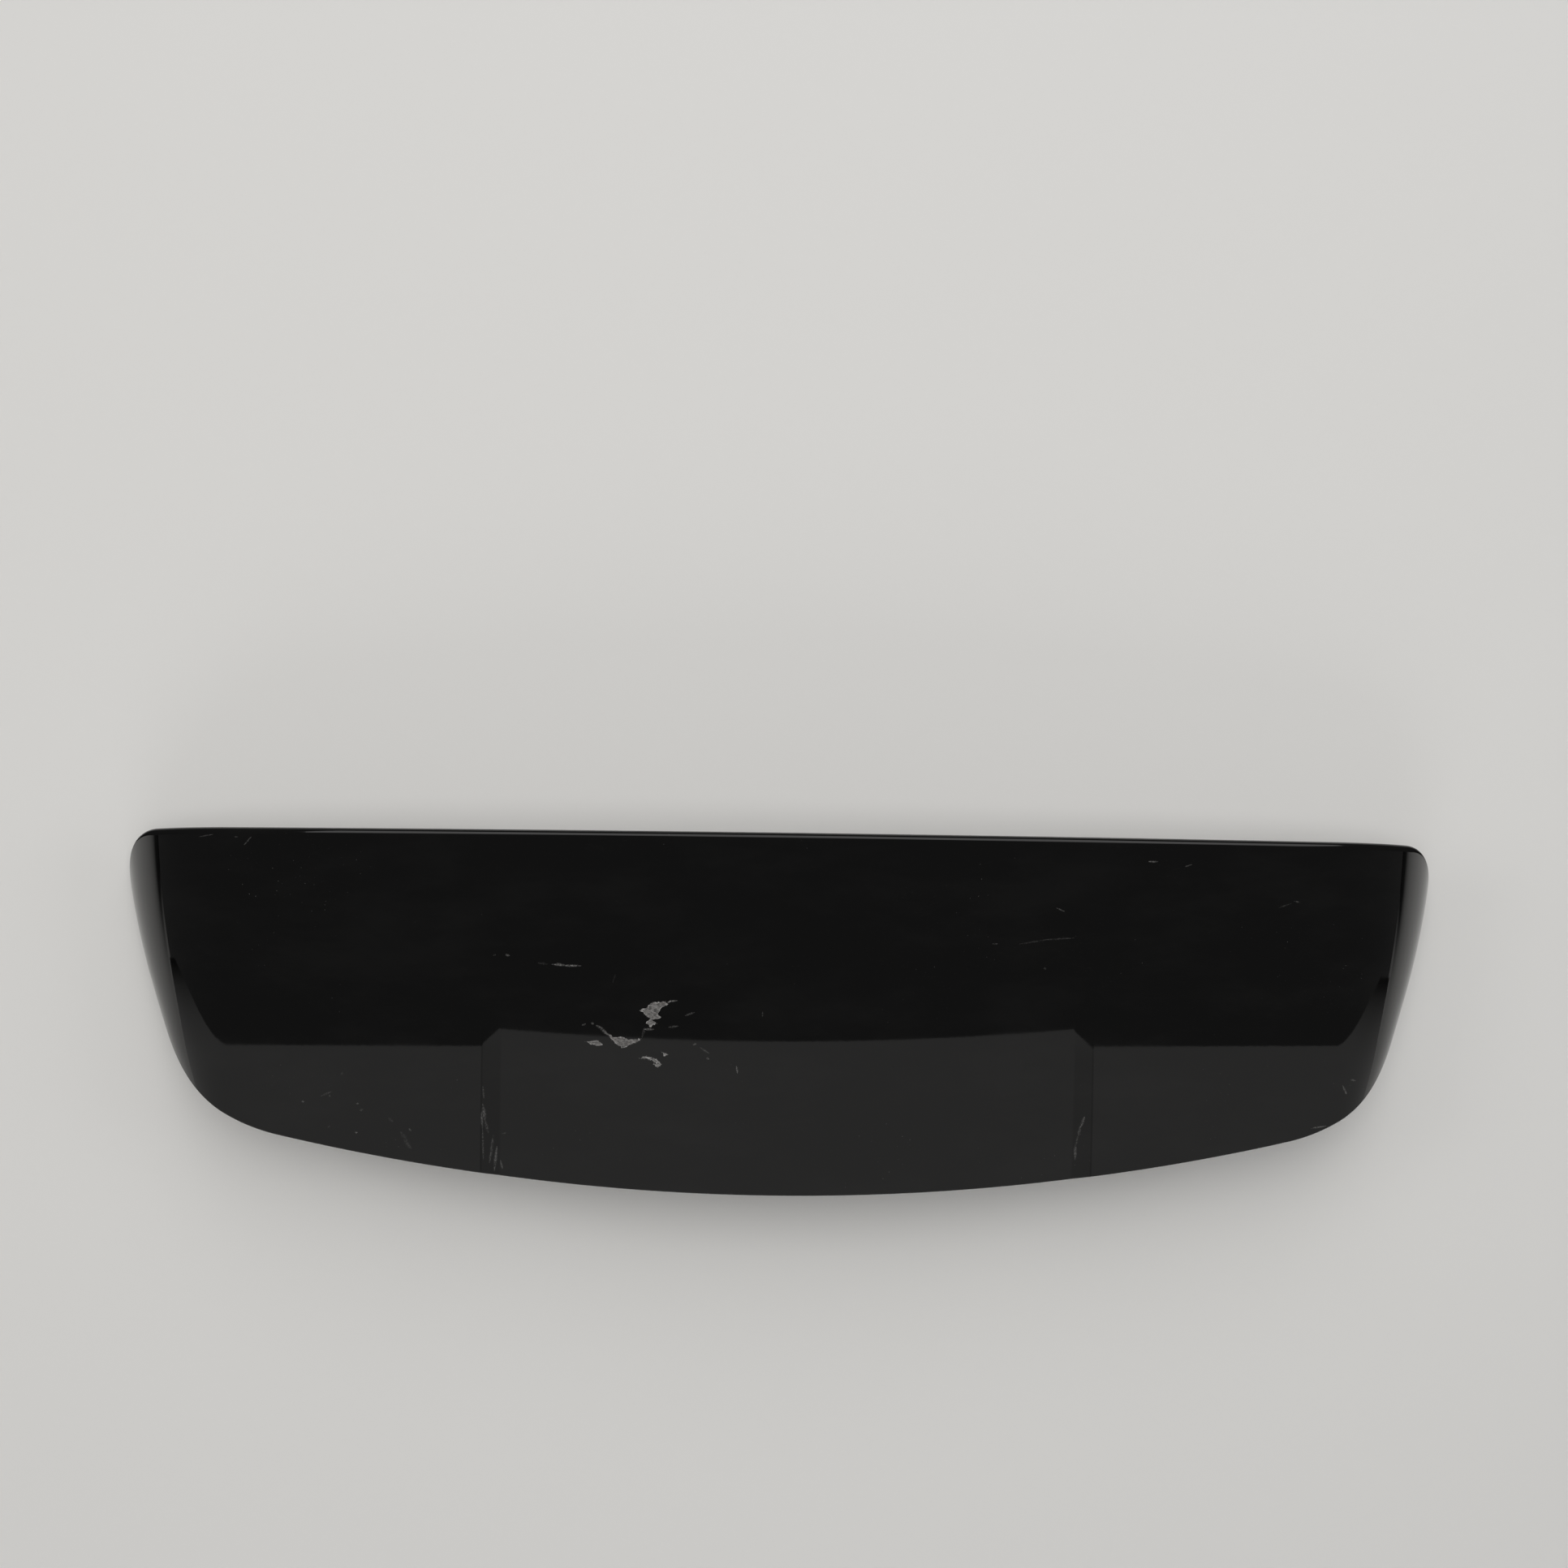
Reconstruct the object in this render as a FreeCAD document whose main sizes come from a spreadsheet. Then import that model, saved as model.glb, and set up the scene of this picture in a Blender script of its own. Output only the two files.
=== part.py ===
import FreeCAD, Part
import math
import os
import Sketcher

# Tailgate spoiler: a painted skin with rolled cheeks, bonded over an inner panel that carries the fixings.
# Frame: +X across the car, +Y forward to the leading edge, +Z up out of the skin. The origin is the centre
# of the stud pattern on the tailgate's surface. Lengths are in millimetres and angles in degrees.

Vector = FreeCAD.Vector
doc = FreeCAD.newDocument("tailgate_spoiler")

SIZES = (
    ("overall_width", 1220.0, "width over the two cheeks"),
    ("chord", 315.2, "leading edge to trailing edge on the centre line"),
    ("front_reach", 105.0, "stud centre line to the leading edge"),
    ("lead_height", 62.0, "top of the leading edge above the tailgate"),
    ("front_corner_radius", 41.0, "plan radius of the front corners"),
    ("side_radius", 640.0, "plan radius of the cheeks' lower edges"),
    ("rear_corner_radius", 166.0, "plan radius of the rear corners"),
    ("trailing_radius", 2125.0, "plan radius of the trailing edge"),
    ("rear_taper", 164.5, "how far each side draws in from its widest point to the end of the trailing arc"),
    ("profile_radius", 1900.0, "radius of the top from front to rear"),
    ("crown_radius", 5000.0, "radius of the top from side to side"),
    ("roll_width", 120.0, "plan width of a rolled cheek at its widest"),
    ("cheek_angle", 66.5, "slope of a cheek at its lower edge"),
    ("roll_out_radius", 12.0, "radius of a rolled cheek where it runs out at the rear corner"),
    ("recess_width", 501.0, "width of the recess floor"),
    ("recess_band", 15.7, "width of the sloping band at each end of the recess"),
    ("recess_depth", 7.0, "depth of the recess beside its bands, at the trailing edge"),
    ("recess_middle_depth", 2.0, "depth of the recess on the centre line, at the trailing edge"),
    ("recess_tail", 0.8, "how far the recess reaches past the rest of the trailing edge"),
    ("skin_wall", 3.0, "wall of the painted skin"),
    ("edge_return", 12.0, "depth of the turned edge round the skin"),
    ("front_flange", 35.0, "depth of the flange along the leading edge"),
    ("panel_wall", 2.5, "wall of the inner panel"),
    ("panel_height", 22.0, "underside of the inner panel above the tailgate"),
    ("panel_front_rise", 18.0, "rise of the inner panel to the front flange"),
    ("panel_front_run", 28.0, "length of the front slope of the inner panel"),
    ("panel_rear_rise", 3.0, "rise of the inner panel to the trailing edge"),
    ("panel_rear_run", 130.0, "length of the rear slope of the inner panel"),
    ("bond_gap", 0.3, "bond line between the skin and the inner panel"),
    ("stud_spacing_across", 660.0, "distance between studs across the car"),
    ("stud_spacing_along", 70.0, "distance between studs along the car"),
    ("stud_diameter", 6.0, "thread diameter of a stud"),
    ("stud_reach", 22.0, "length of a stud below the tailgate's surface"),
    ("stud_neck", 7.2, "width of a stud's square neck, which keeps it from turning in its boss"),
    ("stud_neck_gap", 0.1, "room on each side of a stud's neck in its boss"),
    ("stud_head_size", 16.0, "width across the flats of a stud's head"),
    ("stud_head_height", 4.5, "height of a stud's head"),
    ("boss_diameter", 28.0, "diameter of a stud boss"),
    ("boss_seat", 2.0, "height of a boss above the inner panel"),
    ("gasket_height", 2.0, "thickness of a foam ring"),
    ("gasket_gap", 0.4, "room round the corners of a stud's neck in a foam ring"),
    ("pin_spacing", 440.0, "distance between the two locating pins"),
    ("pin_diameter", 9.0, "diameter of a locating pin"),
    ("pin_boss_diameter", 18.0, "diameter of a locating pin's boss"),
    ("pin_reach", 10.0, "length of a locating pin below the tailgate's surface"),
    ("pin_tip_diameter", 5.0, "diameter of a locating pin's tip"),
    ("pin_tip_length", 4.0, "length of a locating pin's tapered tip"),
    ("rib_height", 6.0, "height of a rib under the inner panel"),
    ("rib_wall", 2.0, "thickness of a rib"),
    ("rib_pitch", 82.5, "distance between ribs"),
    ("rib_length", 105.0, "length of a rib from front to rear"),
    ("clip_inset", 105.0, "widest point of a side to the line of its clips"),
    ("clip_spacing_along", 80.0, "distance between the two clips of an end"),
    ("clip_tower_width", 20.0, "width of a clip tower"),
    ("clip_tower_length", 26.0, "length of a clip tower from front to rear"),
    ("clip_tower_height", 9.0, "height of a clip tower below the inner panel"),
    ("clip_stem_width", 5.0, "width of a clip's blade between its barbs"),
    ("clip_barb_width", 9.0, "width of a clip's blade over its barbs"),
    ("clip_blade", 4.0, "thickness of a clip's blade"),
    ("clip_barb_pitch", 4.5, "distance between the barbs of a clip"),
    ("clip_flange_width", 18.0, "width of a clip's flange"),
    ("clip_flange_height", 1.6, "thickness of a clip's flange"),
    ("clip_socket_depth", 5.0, "length of a clip's blade inside its tower"),
    ("clip_socket_gap", 0.1, "room round a clip's blade in its tower"),
    ("seal_inset", 20.0, "end of the front seal to the start of the rolled cheek"),
    ("seal_wall", 4.0, "thickness of the seal's foot"),
    ("seal_foot", 8.0, "height of the seal's foot above the flange's edge"),
    ("seal_bulb_diameter", 11.0, "diameter of the seal's bulb"),
    ("pad_width", 60.0, "width of a rest pad"),
    ("pad_length", 16.0, "length of a rest pad from front to rear"),
    ("pad_height", 8.0, "height of a rest pad"),
    ("pad_pitch", 230.0, "distance between rest pads"),
    ("pad_setback", 17.5, "start of the panel's rear slope to the middle of the rest pads"),
)

sheet = doc.addObject("Spreadsheet::Sheet", "sizes")
for row, (alias, value, meaning) in enumerate(SIZES, start=1):
    sheet.set("A%d" % row, meaning)
    sheet.set("B%d" % row, str(value))
    sheet.setAlias("B%d" % row, alias)
doc.recompute()


def size(alias):
    return float(sheet.get(alias))


def cell(alias):
    return "<<sizes>>.%s" % alias


def bind(obj, **expressions):
    for name, expression in expressions.items():
        obj.setExpression(name, expression)


def place(obj, x="0", y="0", z="0"):
    """Puts an object at a place that follows the sheet."""
    for axis, expression in (("x", x), ("y", y), ("z", z)):
        obj.setExpression(".Placement.Base." + axis, "(%s) * 1 mm" % expression)


sheet.Label = "sizes"
RIGHT = 1
LEFT = -1

# Plain numbers that shape the construction solids and never show on the part
OVERRUN = 20.0
BELOW = 200.0
ABOVE = 40.0
ROLL_OVERRUN = 12.0

# Power by which the recess deepens towards the rear, and places of the form's sections as shares of the chord
RECESS_GROWTH = 1.5
STATION_SHARES = (0.25, 0.45, 0.6, 0.7, 0.78)


def crown_half():
    """Half width of the crowned top, up to the rolled cheeks."""
    return size("overall_width") / 2 - size("roll_width")


def trailing_half():
    """Half width of the trailing arc, up to the rear corners."""
    return size("overall_width") / 2 - size("rear_taper")


def recess_halves():
    """Half widths of the recess at its floor and at its outer creases."""
    floor_half = size("recess_width") / 2
    return floor_half, floor_half + size("recess_band")


def outline_points(inset):
    """Centres, joints and radii of the right half of the plan outline, moved in by an inset."""
    lead = size("front_reach") - inset
    trail_radius = size("trailing_radius") - inset
    rear_radius = size("rear_corner_radius") - inset
    side_radius = size("side_radius") - inset
    front_radius = size("front_corner_radius") - inset
    turn = math.asin(trailing_half() / size("trailing_radius"))
    outward = Vector(math.sin(turn), -math.cos(turn), 0)
    trail_y = size("front_reach") - size("chord") + size("recess_tail") + inset
    trail_centre = Vector(0, trail_y + trail_radius, 0)
    rear_centre = trail_centre + outward * (trail_radius - rear_radius)
    front_centre = Vector(size("overall_width") / 2 - inset - front_radius, lead - front_radius, 0)
    # The cheek's arc touches both corner arcs from outside, so its centre is known from both of theirs
    gap = front_centre - rear_centre
    reach_rear = side_radius - rear_radius
    reach_front = side_radius - front_radius
    along = (gap.Length ** 2 + reach_rear ** 2 - reach_front ** 2) / (2 * gap.Length)
    across = math.sqrt(reach_rear ** 2 - along ** 2)
    step = gap / gap.Length
    side_centre = rear_centre + step * along + Vector(-step.y, step.x, 0) * across
    rear_way = (rear_centre - side_centre) / reach_rear
    front_way = (front_centre - side_centre) / reach_front
    return {
        "trail": (trail_centre, trail_radius),
        "rear": (rear_centre, rear_radius),
        "side": (side_centre, side_radius),
        "front": (front_centre, front_radius),
        "trail_end": trail_centre + outward * trail_radius,
        "rear_end": rear_centre + rear_way * rear_radius,
        "side_end": front_centre + front_way * front_radius,
        "front_end": Vector(front_centre.x, lead, 0),
    }


def cheek_reach(behind):
    """Half width of the outline at a distance behind the leading edge, corners at the front left square."""
    points = outline_points(0)
    y = size("front_reach") - behind
    name = "side" if y > points["rear_end"].y else "rear"
    centre, radius = points[name]
    return centre.x + math.sqrt(max(radius ** 2 - (y - centre.y) ** 2, 0))


def top_drop(behind):
    """Fall of the crown line below the leading edge at a distance behind it."""
    radius = size("profile_radius")
    return radius - math.sqrt(radius ** 2 - behind ** 2)


def polar(centre, radius, angle):
    """Point of a section's arc: the angle is zero at the top and grows to the right."""
    return centre + Vector(math.sin(angle), 0, math.cos(angle)) * radius


def arc_edge(centre, radius, first, last):
    middle = (first + last) / 2
    ends = [polar(centre, radius, angle) for angle in (first, middle, last)]
    return Part.Arc(*ends).toShape()


def line_edge(start, end):
    return Part.LineSegment(start, end).toShape()


def section(behind, inset):
    """Closed section across the skin's form: recess floor, bands, crown, rolled cheeks and a plain base."""
    y = size("front_reach") - behind
    crown = size("crown_radius")
    centre = Vector(0, y, size("lead_height") - top_drop(behind) - crown)
    floor_turn, crease_turn = [math.asin(half / crown) for half in recess_halves()]
    roll_turn = math.asin(crown_half() / crown)
    cheek_turn = math.radians(size("cheek_angle"))
    last_turn = math.radians(size("cheek_angle") + ROLL_OVERRUN)
    growth = max(behind / size("chord"), 0) ** RECESS_GROWTH
    depth = size("recess_depth") * growth
    middle_depth = size("recess_middle_depth") * growth
    roll_width = cheek_reach(behind) - crown_half()
    roll = max(roll_width / (math.sin(cheek_turn) - math.sin(roll_turn)), size("roll_out_radius"))
    top = crown - inset
    floor = top - depth
    edges = []
    foot = []
    for side in (LEFT, RIGHT):
        roll_centre = polar(centre, crown - roll, side * roll_turn)
        cheek_start = polar(roll_centre, roll - inset, side * last_turn)
        run = Vector(side * math.cos(last_turn), 0, -math.sin(last_turn))
        cheek_end = cheek_start + run * (OVERRUN * 2)
        base = Vector(cheek_end.x, y, -BELOW)
        half = [
            line_edge(polar(centre, floor, side * floor_turn), polar(centre, top, side * crease_turn)),
            arc_edge(centre, top, side * crease_turn, side * roll_turn),
            arc_edge(roll_centre, roll - inset, side * roll_turn, side * last_turn),
            line_edge(cheek_start, cheek_end),
            line_edge(cheek_end, base),
        ]
        edges += half
        foot.append(base)
    floor_ends = [polar(centre, floor, side * floor_turn) for side in (LEFT, RIGHT)]
    edges.append(Part.Arc(floor_ends[0], polar(centre, top - middle_depth, 0), floor_ends[1]).toShape())
    edges.append(line_edge(foot[0], foot[1]))
    return Part.Wire(Part.__sortEdges__(edges))


def form(name, inset):
    """The skin's whole form as one lofted block, moved in by an inset."""
    chord = size("chord")
    stations = [-OVERRUN] + [share * chord for share in STATION_SHARES] + [chord + OVERRUN]
    block = doc.addObject("Part::Feature", name)
    block.Shape = Part.makeLoft([section(behind, inset) for behind in stations], True, False)
    return block


def origin_plane(body, role):
    return [feature for feature in body.Origin.OriginFeatures if feature.Role == role][0]


def new_sketch(body, name, role):
    sketch = body.newObject("Sketcher::SketchObject", name)
    sketch.AttachmentSupport = (origin_plane(body, role), [""])
    sketch.MapMode = "FlatFace"
    return sketch


def drive(sketch, constraint, expression):
    """Adds a size constraint that follows the sheet."""
    index = sketch.addConstraint(constraint)
    sketch.setExpression("Constraints[%d]" % index, expression)


def arc_of(centre, radius, start, end):
    first = math.atan2(start.y - centre.y, start.x - centre.x)
    last = math.atan2(end.y - centre.y, end.x - centre.x)
    return Part.ArcOfCircle(Part.Circle(centre, Vector(0, 0, 1), radius), first, last)


def outline(name, inset, inset_cells):
    """Upright block of the plan outline: half is drawn and padded, then mirrored."""
    body = doc.addObject("PartDesign::Body", name)
    sketch = new_sketch(body, name + "_sketch", "XY_Plane")
    points = outline_points(inset)
    trail_centre, trail_radius = points["trail"]
    tail_radius = trail_radius + size("recess_tail")
    inner, outer = recess_halves()
    tail_end = Vector(inner, trail_centre.y - math.sqrt(tail_radius ** 2 - inner ** 2), 0)
    trail_start = Vector(outer, trail_centre.y - math.sqrt(trail_radius ** 2 - outer ** 2), 0)
    tail_start = Vector(0, trail_centre.y - tail_radius, 0)
    lead = Vector(0, points["front_end"].y, 0)
    tail, band, trail, rear, side, front, leading, axis = sketch.addGeometry([
        arc_of(trail_centre, tail_radius, tail_start, tail_end),
        Part.LineSegment(tail_end, trail_start),
        arc_of(trail_centre, trail_radius, trail_start, points["trail_end"]),
        arc_of(*points["rear"], points["trail_end"], points["rear_end"]),
        arc_of(*points["side"], points["rear_end"], points["side_end"]),
        arc_of(*points["front"], points["side_end"], points["front_end"]),
        Part.LineSegment(points["front_end"], lead),
        Part.LineSegment(lead, tail_start),
    ])
    start, end, middle, y_axis, origin = 1, 2, 3, -2, -1
    sketch.addConstraint([
        Sketcher.Constraint("Coincident", tail, end, band, start),
        Sketcher.Constraint("Coincident", band, end, trail, start),
        Sketcher.Constraint("Tangent", trail, end, rear, start),
        Sketcher.Constraint("Tangent", rear, end, side, start),
        Sketcher.Constraint("Tangent", side, end, front, start),
        Sketcher.Constraint("Tangent", front, end, leading, start),
        Sketcher.Constraint("Coincident", leading, end, axis, start),
        Sketcher.Constraint("Coincident", axis, end, tail, start),
        Sketcher.Constraint("Coincident", tail, middle, trail, middle),
        Sketcher.Constraint("PointOnObject", trail, middle, y_axis),
        Sketcher.Constraint("PointOnObject", axis, start, y_axis),
        Sketcher.Constraint("PointOnObject", axis, end, y_axis),
        Sketcher.Constraint("Horizontal", leading),
    ])
    for arc, alias, radius in (
        (trail, "trailing_radius", trail_radius),
        (rear, "rear_corner_radius", points["rear"][1]),
        (side, "side_radius", points["side"][1]),
        (front, "front_corner_radius", points["front"][1]),
    ):
        drive(sketch, Sketcher.Constraint("Radius", arc, radius), "%s - (%s)" % (cell(alias), inset_cells))
    drive(sketch, Sketcher.Constraint("Radius", tail, tail_radius),
          "%s + %s - (%s)" % (cell("trailing_radius"), cell("recess_tail"), inset_cells))
    drive(sketch, Sketcher.Constraint("DistanceY", origin, start, axis, start, lead.y),
          "%s - (%s)" % (cell("front_reach"), inset_cells))
    drive(sketch, Sketcher.Constraint("DistanceY", axis, end, axis, start, lead.y - tail_start.y),
          "%s - 2 * (%s)" % (cell("chord"), inset_cells))
    drive(sketch, Sketcher.Constraint("DistanceX", origin, start, front, middle, points["front"][0].x),
          "%s / 2 - %s" % (cell("overall_width"), cell("front_corner_radius")))
    drive(sketch, Sketcher.Constraint("DistanceX", origin, start, trail, end, points["trail_end"].x),
          "(%s) * (%s - (%s)) / %s" % (TRAILING_HALF, cell("trailing_radius"), inset_cells,
                                       cell("trailing_radius")))
    drive(sketch, Sketcher.Constraint("DistanceX", origin, start, tail, end, inner),
          "%s / 2" % cell("recess_width"))
    drive(sketch, Sketcher.Constraint("DistanceX", origin, start, trail, start, outer),
          "%s / 2 + %s" % (cell("recess_width"), cell("recess_band")))
    doc.recompute()
    pad = body.newObject("PartDesign::Pad", name + "_pad")
    pad.Profile = sketch
    pad.SideType = "Two sides"
    pad.Length = size("lead_height") + ABOVE
    pad.Length2 = BELOW - OVERRUN + inset
    doc.recompute()
    mirrored = body.newObject("PartDesign::Mirrored", name + "_both")
    mirrored.Originals = [pad]
    mirrored.MirrorPlane = (origin_plane(body, "YZ_Plane"), [""])
    body.Tip = mirrored
    doc.recompute()
    return body


def boolean(kind, name, base, tool):
    result = doc.addObject("Part::" + kind, name)
    result.Base = base
    result.Tool = tool
    return result


def fuse(name, shapes):
    result = doc.addObject("Part::MultiFuse", name)
    result.Shapes = shapes
    return result


def group(name, shapes):
    result = doc.addObject("Part::Compound", name)
    result.Links = shapes
    return result


def cylinder(name, diameter, height, x, y, z):
    result = doc.addObject("Part::Cylinder", name)
    bind(result, Radius="(%s) / 2 * 1 mm" % diameter, Height="(%s) * 1 mm" % height)
    place(result, x, y, z)
    return result


def cone(name, low, high, height, x, y, z):
    result = doc.addObject("Part::Cone", name)
    bind(result, Radius1="(%s) / 2 * 1 mm" % low, Radius2="(%s) / 2 * 1 mm" % high,
         Height="(%s) * 1 mm" % height)
    place(result, x, y, z)
    return result


def box(name, length, width, height, x, y, z):
    """Box whose place is the middle of its base."""
    result = doc.addObject("Part::Box", name)
    bind(result, Length="(%s) * 1 mm" % length, Width="(%s) * 1 mm" % width,
         Height="(%s) * 1 mm" % height)
    place(result, "%s - (%s) / 2" % (x, length), "%s - (%s) / 2" % (y, width), z)
    return result


def lowered(name, base, depth):
    """A copy of a block, let down by a depth that follows the sheet."""
    copy = doc.addObject("Part::Feature", name)
    copy.Shape = base.Shape.copy()
    place(copy, z="-(%s)" % depth)
    return copy


def crown_fall(x):
    """Expression for the fall of the crown at a distance from the centre line."""
    radius = cell("crown_radius")
    return "(%s - sqrt(%s ^ 2 - (%s) ^ 2))" % (radius, radius, x)


def polygon(sketch, points):
    """Closed outline of straight lines through points whose two places follow the sheet."""
    values = [Vector(value_of(first), value_of(second), 0) for first, second in points]
    following = values[1:] + values[:1]
    lines = [sketch.addGeometry(Part.LineSegment(*pair)) for pair in zip(values, following)]
    for index, line in enumerate(lines):
        sketch.addConstraint(Sketcher.Constraint("Coincident", lines[index - 1], 2, line, 1))
        for kind, expression, value in (
            ("DistanceX", points[index][0], values[index].x),
            ("DistanceY", points[index][1], values[index].y),
        ):
            drive(sketch, Sketcher.Constraint(kind, -1, 1, line, 1, value), expression)


def swept(name, points, width):
    """A flat profile in the centre plane, turned about the crown's axis so that it follows the crown."""
    body = doc.addObject("PartDesign::Body", name)
    sketch = new_sketch(body, name + "_sketch", "YZ_Plane")
    polygon(sketch, points)
    axis_height = "%s - %s" % (cell("lead_height"), cell("crown_radius"))
    depth = value_of(axis_height)
    axis = sketch.addGeometry(Part.LineSegment(Vector(0, depth, 0), Vector(OVERRUN, depth, 0)), True)
    sketch.addConstraint(Sketcher.Constraint("Horizontal", axis))
    sketch.addConstraint(Sketcher.Constraint("PointOnObject", axis, 1, -2))
    drive(sketch, Sketcher.Constraint("DistanceX", axis, 1, axis, 2, OVERRUN), str(OVERRUN))
    drive(sketch, Sketcher.Constraint("DistanceY", -1, 1, axis, 1, depth), axis_height)
    doc.recompute()
    turn = body.newObject("PartDesign::Revolution", name + "_turn")
    turn.Profile = sketch
    turn.ReferenceAxis = (sketch, ["Axis0"])
    turn.Midplane = True
    turn.setExpression("Angle", "2 * asin((%s) / 2 / %s)" % (width, cell("crown_radius")))
    doc.recompute()
    return body


def value_of(expression):
    """Value of an expression on the sheet's cells, for a sketch's first position."""
    return float(sheet.evalExpression(expression.replace("<<sizes>>.", "")))


def cheek_side(sign):
    return "right" if sign == RIGHT else "left"


def ends(spacing):
    """Expressions for the two places on each side of a centre line."""
    return [(sign, "%d * %s / 2" % (sign, cell(spacing))) for sign in (LEFT, RIGHT)]


CROWN_WIDTH = "(%s - 2 * %s)" % (cell("overall_width"), cell("roll_width"))
TRAILING_HALF = "%s / 2 - %s" % (cell("overall_width"), cell("rear_taper"))

# Painted skin

outer_form = form("outer_form", 0.0)
inner_form = form("inner_form", size("skin_wall"))
outer_outline = outline("outer_outline", 0.0, "0")
inner_outline = outline("inner_outline", size("skin_wall"), cell("skin_wall"))
skin_block = boolean("Common", "skin_block", outer_form, outer_outline)
skin_hollow = boolean("Common", "skin_hollow", inner_form, inner_outline)
skin_shell = boolean("Cut", "skin_shell", skin_block, skin_hollow)
edge_form = lowered("edge_form", outer_form, cell("edge_return"))
lead_y = cell("front_reach")
flange_edge = "%s - %s" % (cell("lead_height"), cell("front_flange"))
flange_rear = "%s - %s" % (lead_y, cell("front_corner_radius"))
flange_zone = swept("flange_zone", (
    ("%s + %g" % (lead_y, 2 * OVERRUN), flange_edge),
    ("%s + %g" % (lead_y, 2 * OVERRUN), "%s + %g" % (cell("lead_height"), ABOVE)),
    (flange_rear, "%s + %g" % (cell("lead_height"), ABOVE)),
    (flange_rear, flange_edge),
), cell("overall_width"))
edge_waste = boolean("Cut", "edge_waste", edge_form, flange_zone)
upper_skin = boolean("Cut", "upper_skin", skin_shell, edge_waste)

# Inner panel, bonded inside the skin

bond_inset = "%s + %s" % (cell("skin_wall"), cell("bond_gap"))
bond_form = form("bond_form", size("skin_wall") + size("bond_gap"))
bond_outline = outline("bond_outline", size("skin_wall") + size("bond_gap"), bond_inset)
bond_room = boolean("Common", "bond_room", bond_form, bond_outline)

tail_y = "%s - %s" % (cell("front_reach"), cell("chord"))
front_knee = "%s - %s" % (lead_y, cell("panel_front_run"))
rear_knee = "%s + %s" % (tail_y, cell("panel_rear_run"))
under_front = "%s + %s" % (cell("panel_height"), cell("panel_front_rise"))
under_rear = "%s + %s" % (cell("panel_height"), cell("panel_rear_rise"))
wall = cell("panel_wall")
panel_profile = (
    (lead_y, under_front),
    (front_knee, cell("panel_height")),
    (rear_knee, cell("panel_height")),
    (tail_y, under_rear),
    (tail_y, "%s + %s" % (under_rear, wall)),
    (rear_knee, "%s + %s" % (cell("panel_height"), wall)),
    (front_knee, "%s + %s" % (cell("panel_height"), wall)),
    (lead_y, "%s + %s" % (under_front, wall)),
)
panel_sheet = swept("panel_sheet", panel_profile, cell("overall_width"))

rib_front = "%s / 2" % cell("rib_length")
rib_zone = swept("rib_zone", (
    (rib_front, "%s - %s" % (cell("panel_height"), cell("rib_height"))),
    (rib_front, "%s + %s / 2" % (cell("panel_height"), wall)),
    ("-%s" % rib_front, "%s + %s / 2" % (cell("panel_height"), wall)),
    ("-%s" % rib_front, "%s - %s" % (cell("panel_height"), cell("rib_height"))),
), CROWN_WIDTH)
RIB_STEPS = (-5, -3, -1, 1, 3, 5)
rib_walls = []
for step in RIB_STEPS:
    rib_walls.append(box("rib_wall_%d" % (step + RIB_STEPS[-1]), cell("rib_wall"), cell("rib_length"),
                         "%g" % (2 * BELOW), "%d * %s" % (step, cell("rib_pitch")), "0", "-%g" % BELOW))
cross_length = "%d * %s + %s" % (2 * RIB_STEPS[-1], cell("rib_pitch"), cell("rib_wall"))
for sign, cross_y in ends("stud_spacing_along"):
    rib_walls.append(box("cross_rib_" + ("front" if sign > 0 else "rear"), cross_length, cell("rib_wall"),
                         "%g" % (2 * BELOW), "0", cross_y, "-%g" % BELOW))
ribs = boolean("Common", "ribs", fuse("rib_walls", rib_walls), rib_zone)

stud_places = []
for sign_x, stud_x in ends("stud_spacing_across"):
    for sign_y, stud_y in ends("stud_spacing_along"):
        stud_places.append((stud_x, stud_y))
boss_top = "%s + %s + %s - %s" % (cell("panel_height"), wall, cell("boss_seat"),
                                  crown_fall("%s / 2" % cell("stud_spacing_across")))
bosses = []
stud_holes = []
for number, (stud_x, stud_y) in enumerate(stud_places, start=1):
    bosses.append(cylinder("boss_%d" % number, cell("boss_diameter"),
                           "%s - %s" % (boss_top, cell("gasket_height")), stud_x, stud_y,
                           cell("gasket_height")))
    hole_width = "%s + 2 * %s" % (cell("stud_neck"), cell("stud_neck_gap"))
    stud_holes.append(box("stud_hole_%d" % number, hole_width, hole_width, boss_top, stud_x, stud_y, "0"))

pins = []
pin_root = "%s - %s" % (cell("panel_height"), crown_fall("%s / 2" % cell("pin_spacing")))
for sign, pin_x in ends("pin_spacing"):
    name = "pin_" + cheek_side(sign)
    pins.append(cylinder(name + "_boss", cell("pin_boss_diameter"),
                         "%s + %s / 2 - %s" % (pin_root, wall, cell("gasket_height")), pin_x, "0",
                         cell("gasket_height")))
    pins.append(cylinder(name, cell("pin_diameter"), "%s + %s" % (cell("gasket_height"), cell("pin_reach")),
                         pin_x, "0", "-%s" % cell("pin_reach")))
    pins.append(cone(name + "_tip", cell("pin_tip_diameter"), cell("pin_diameter"), cell("pin_tip_length"),
                     pin_x, "0", "-%s - %s" % (cell("pin_reach"), cell("pin_tip_length"))))

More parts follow.
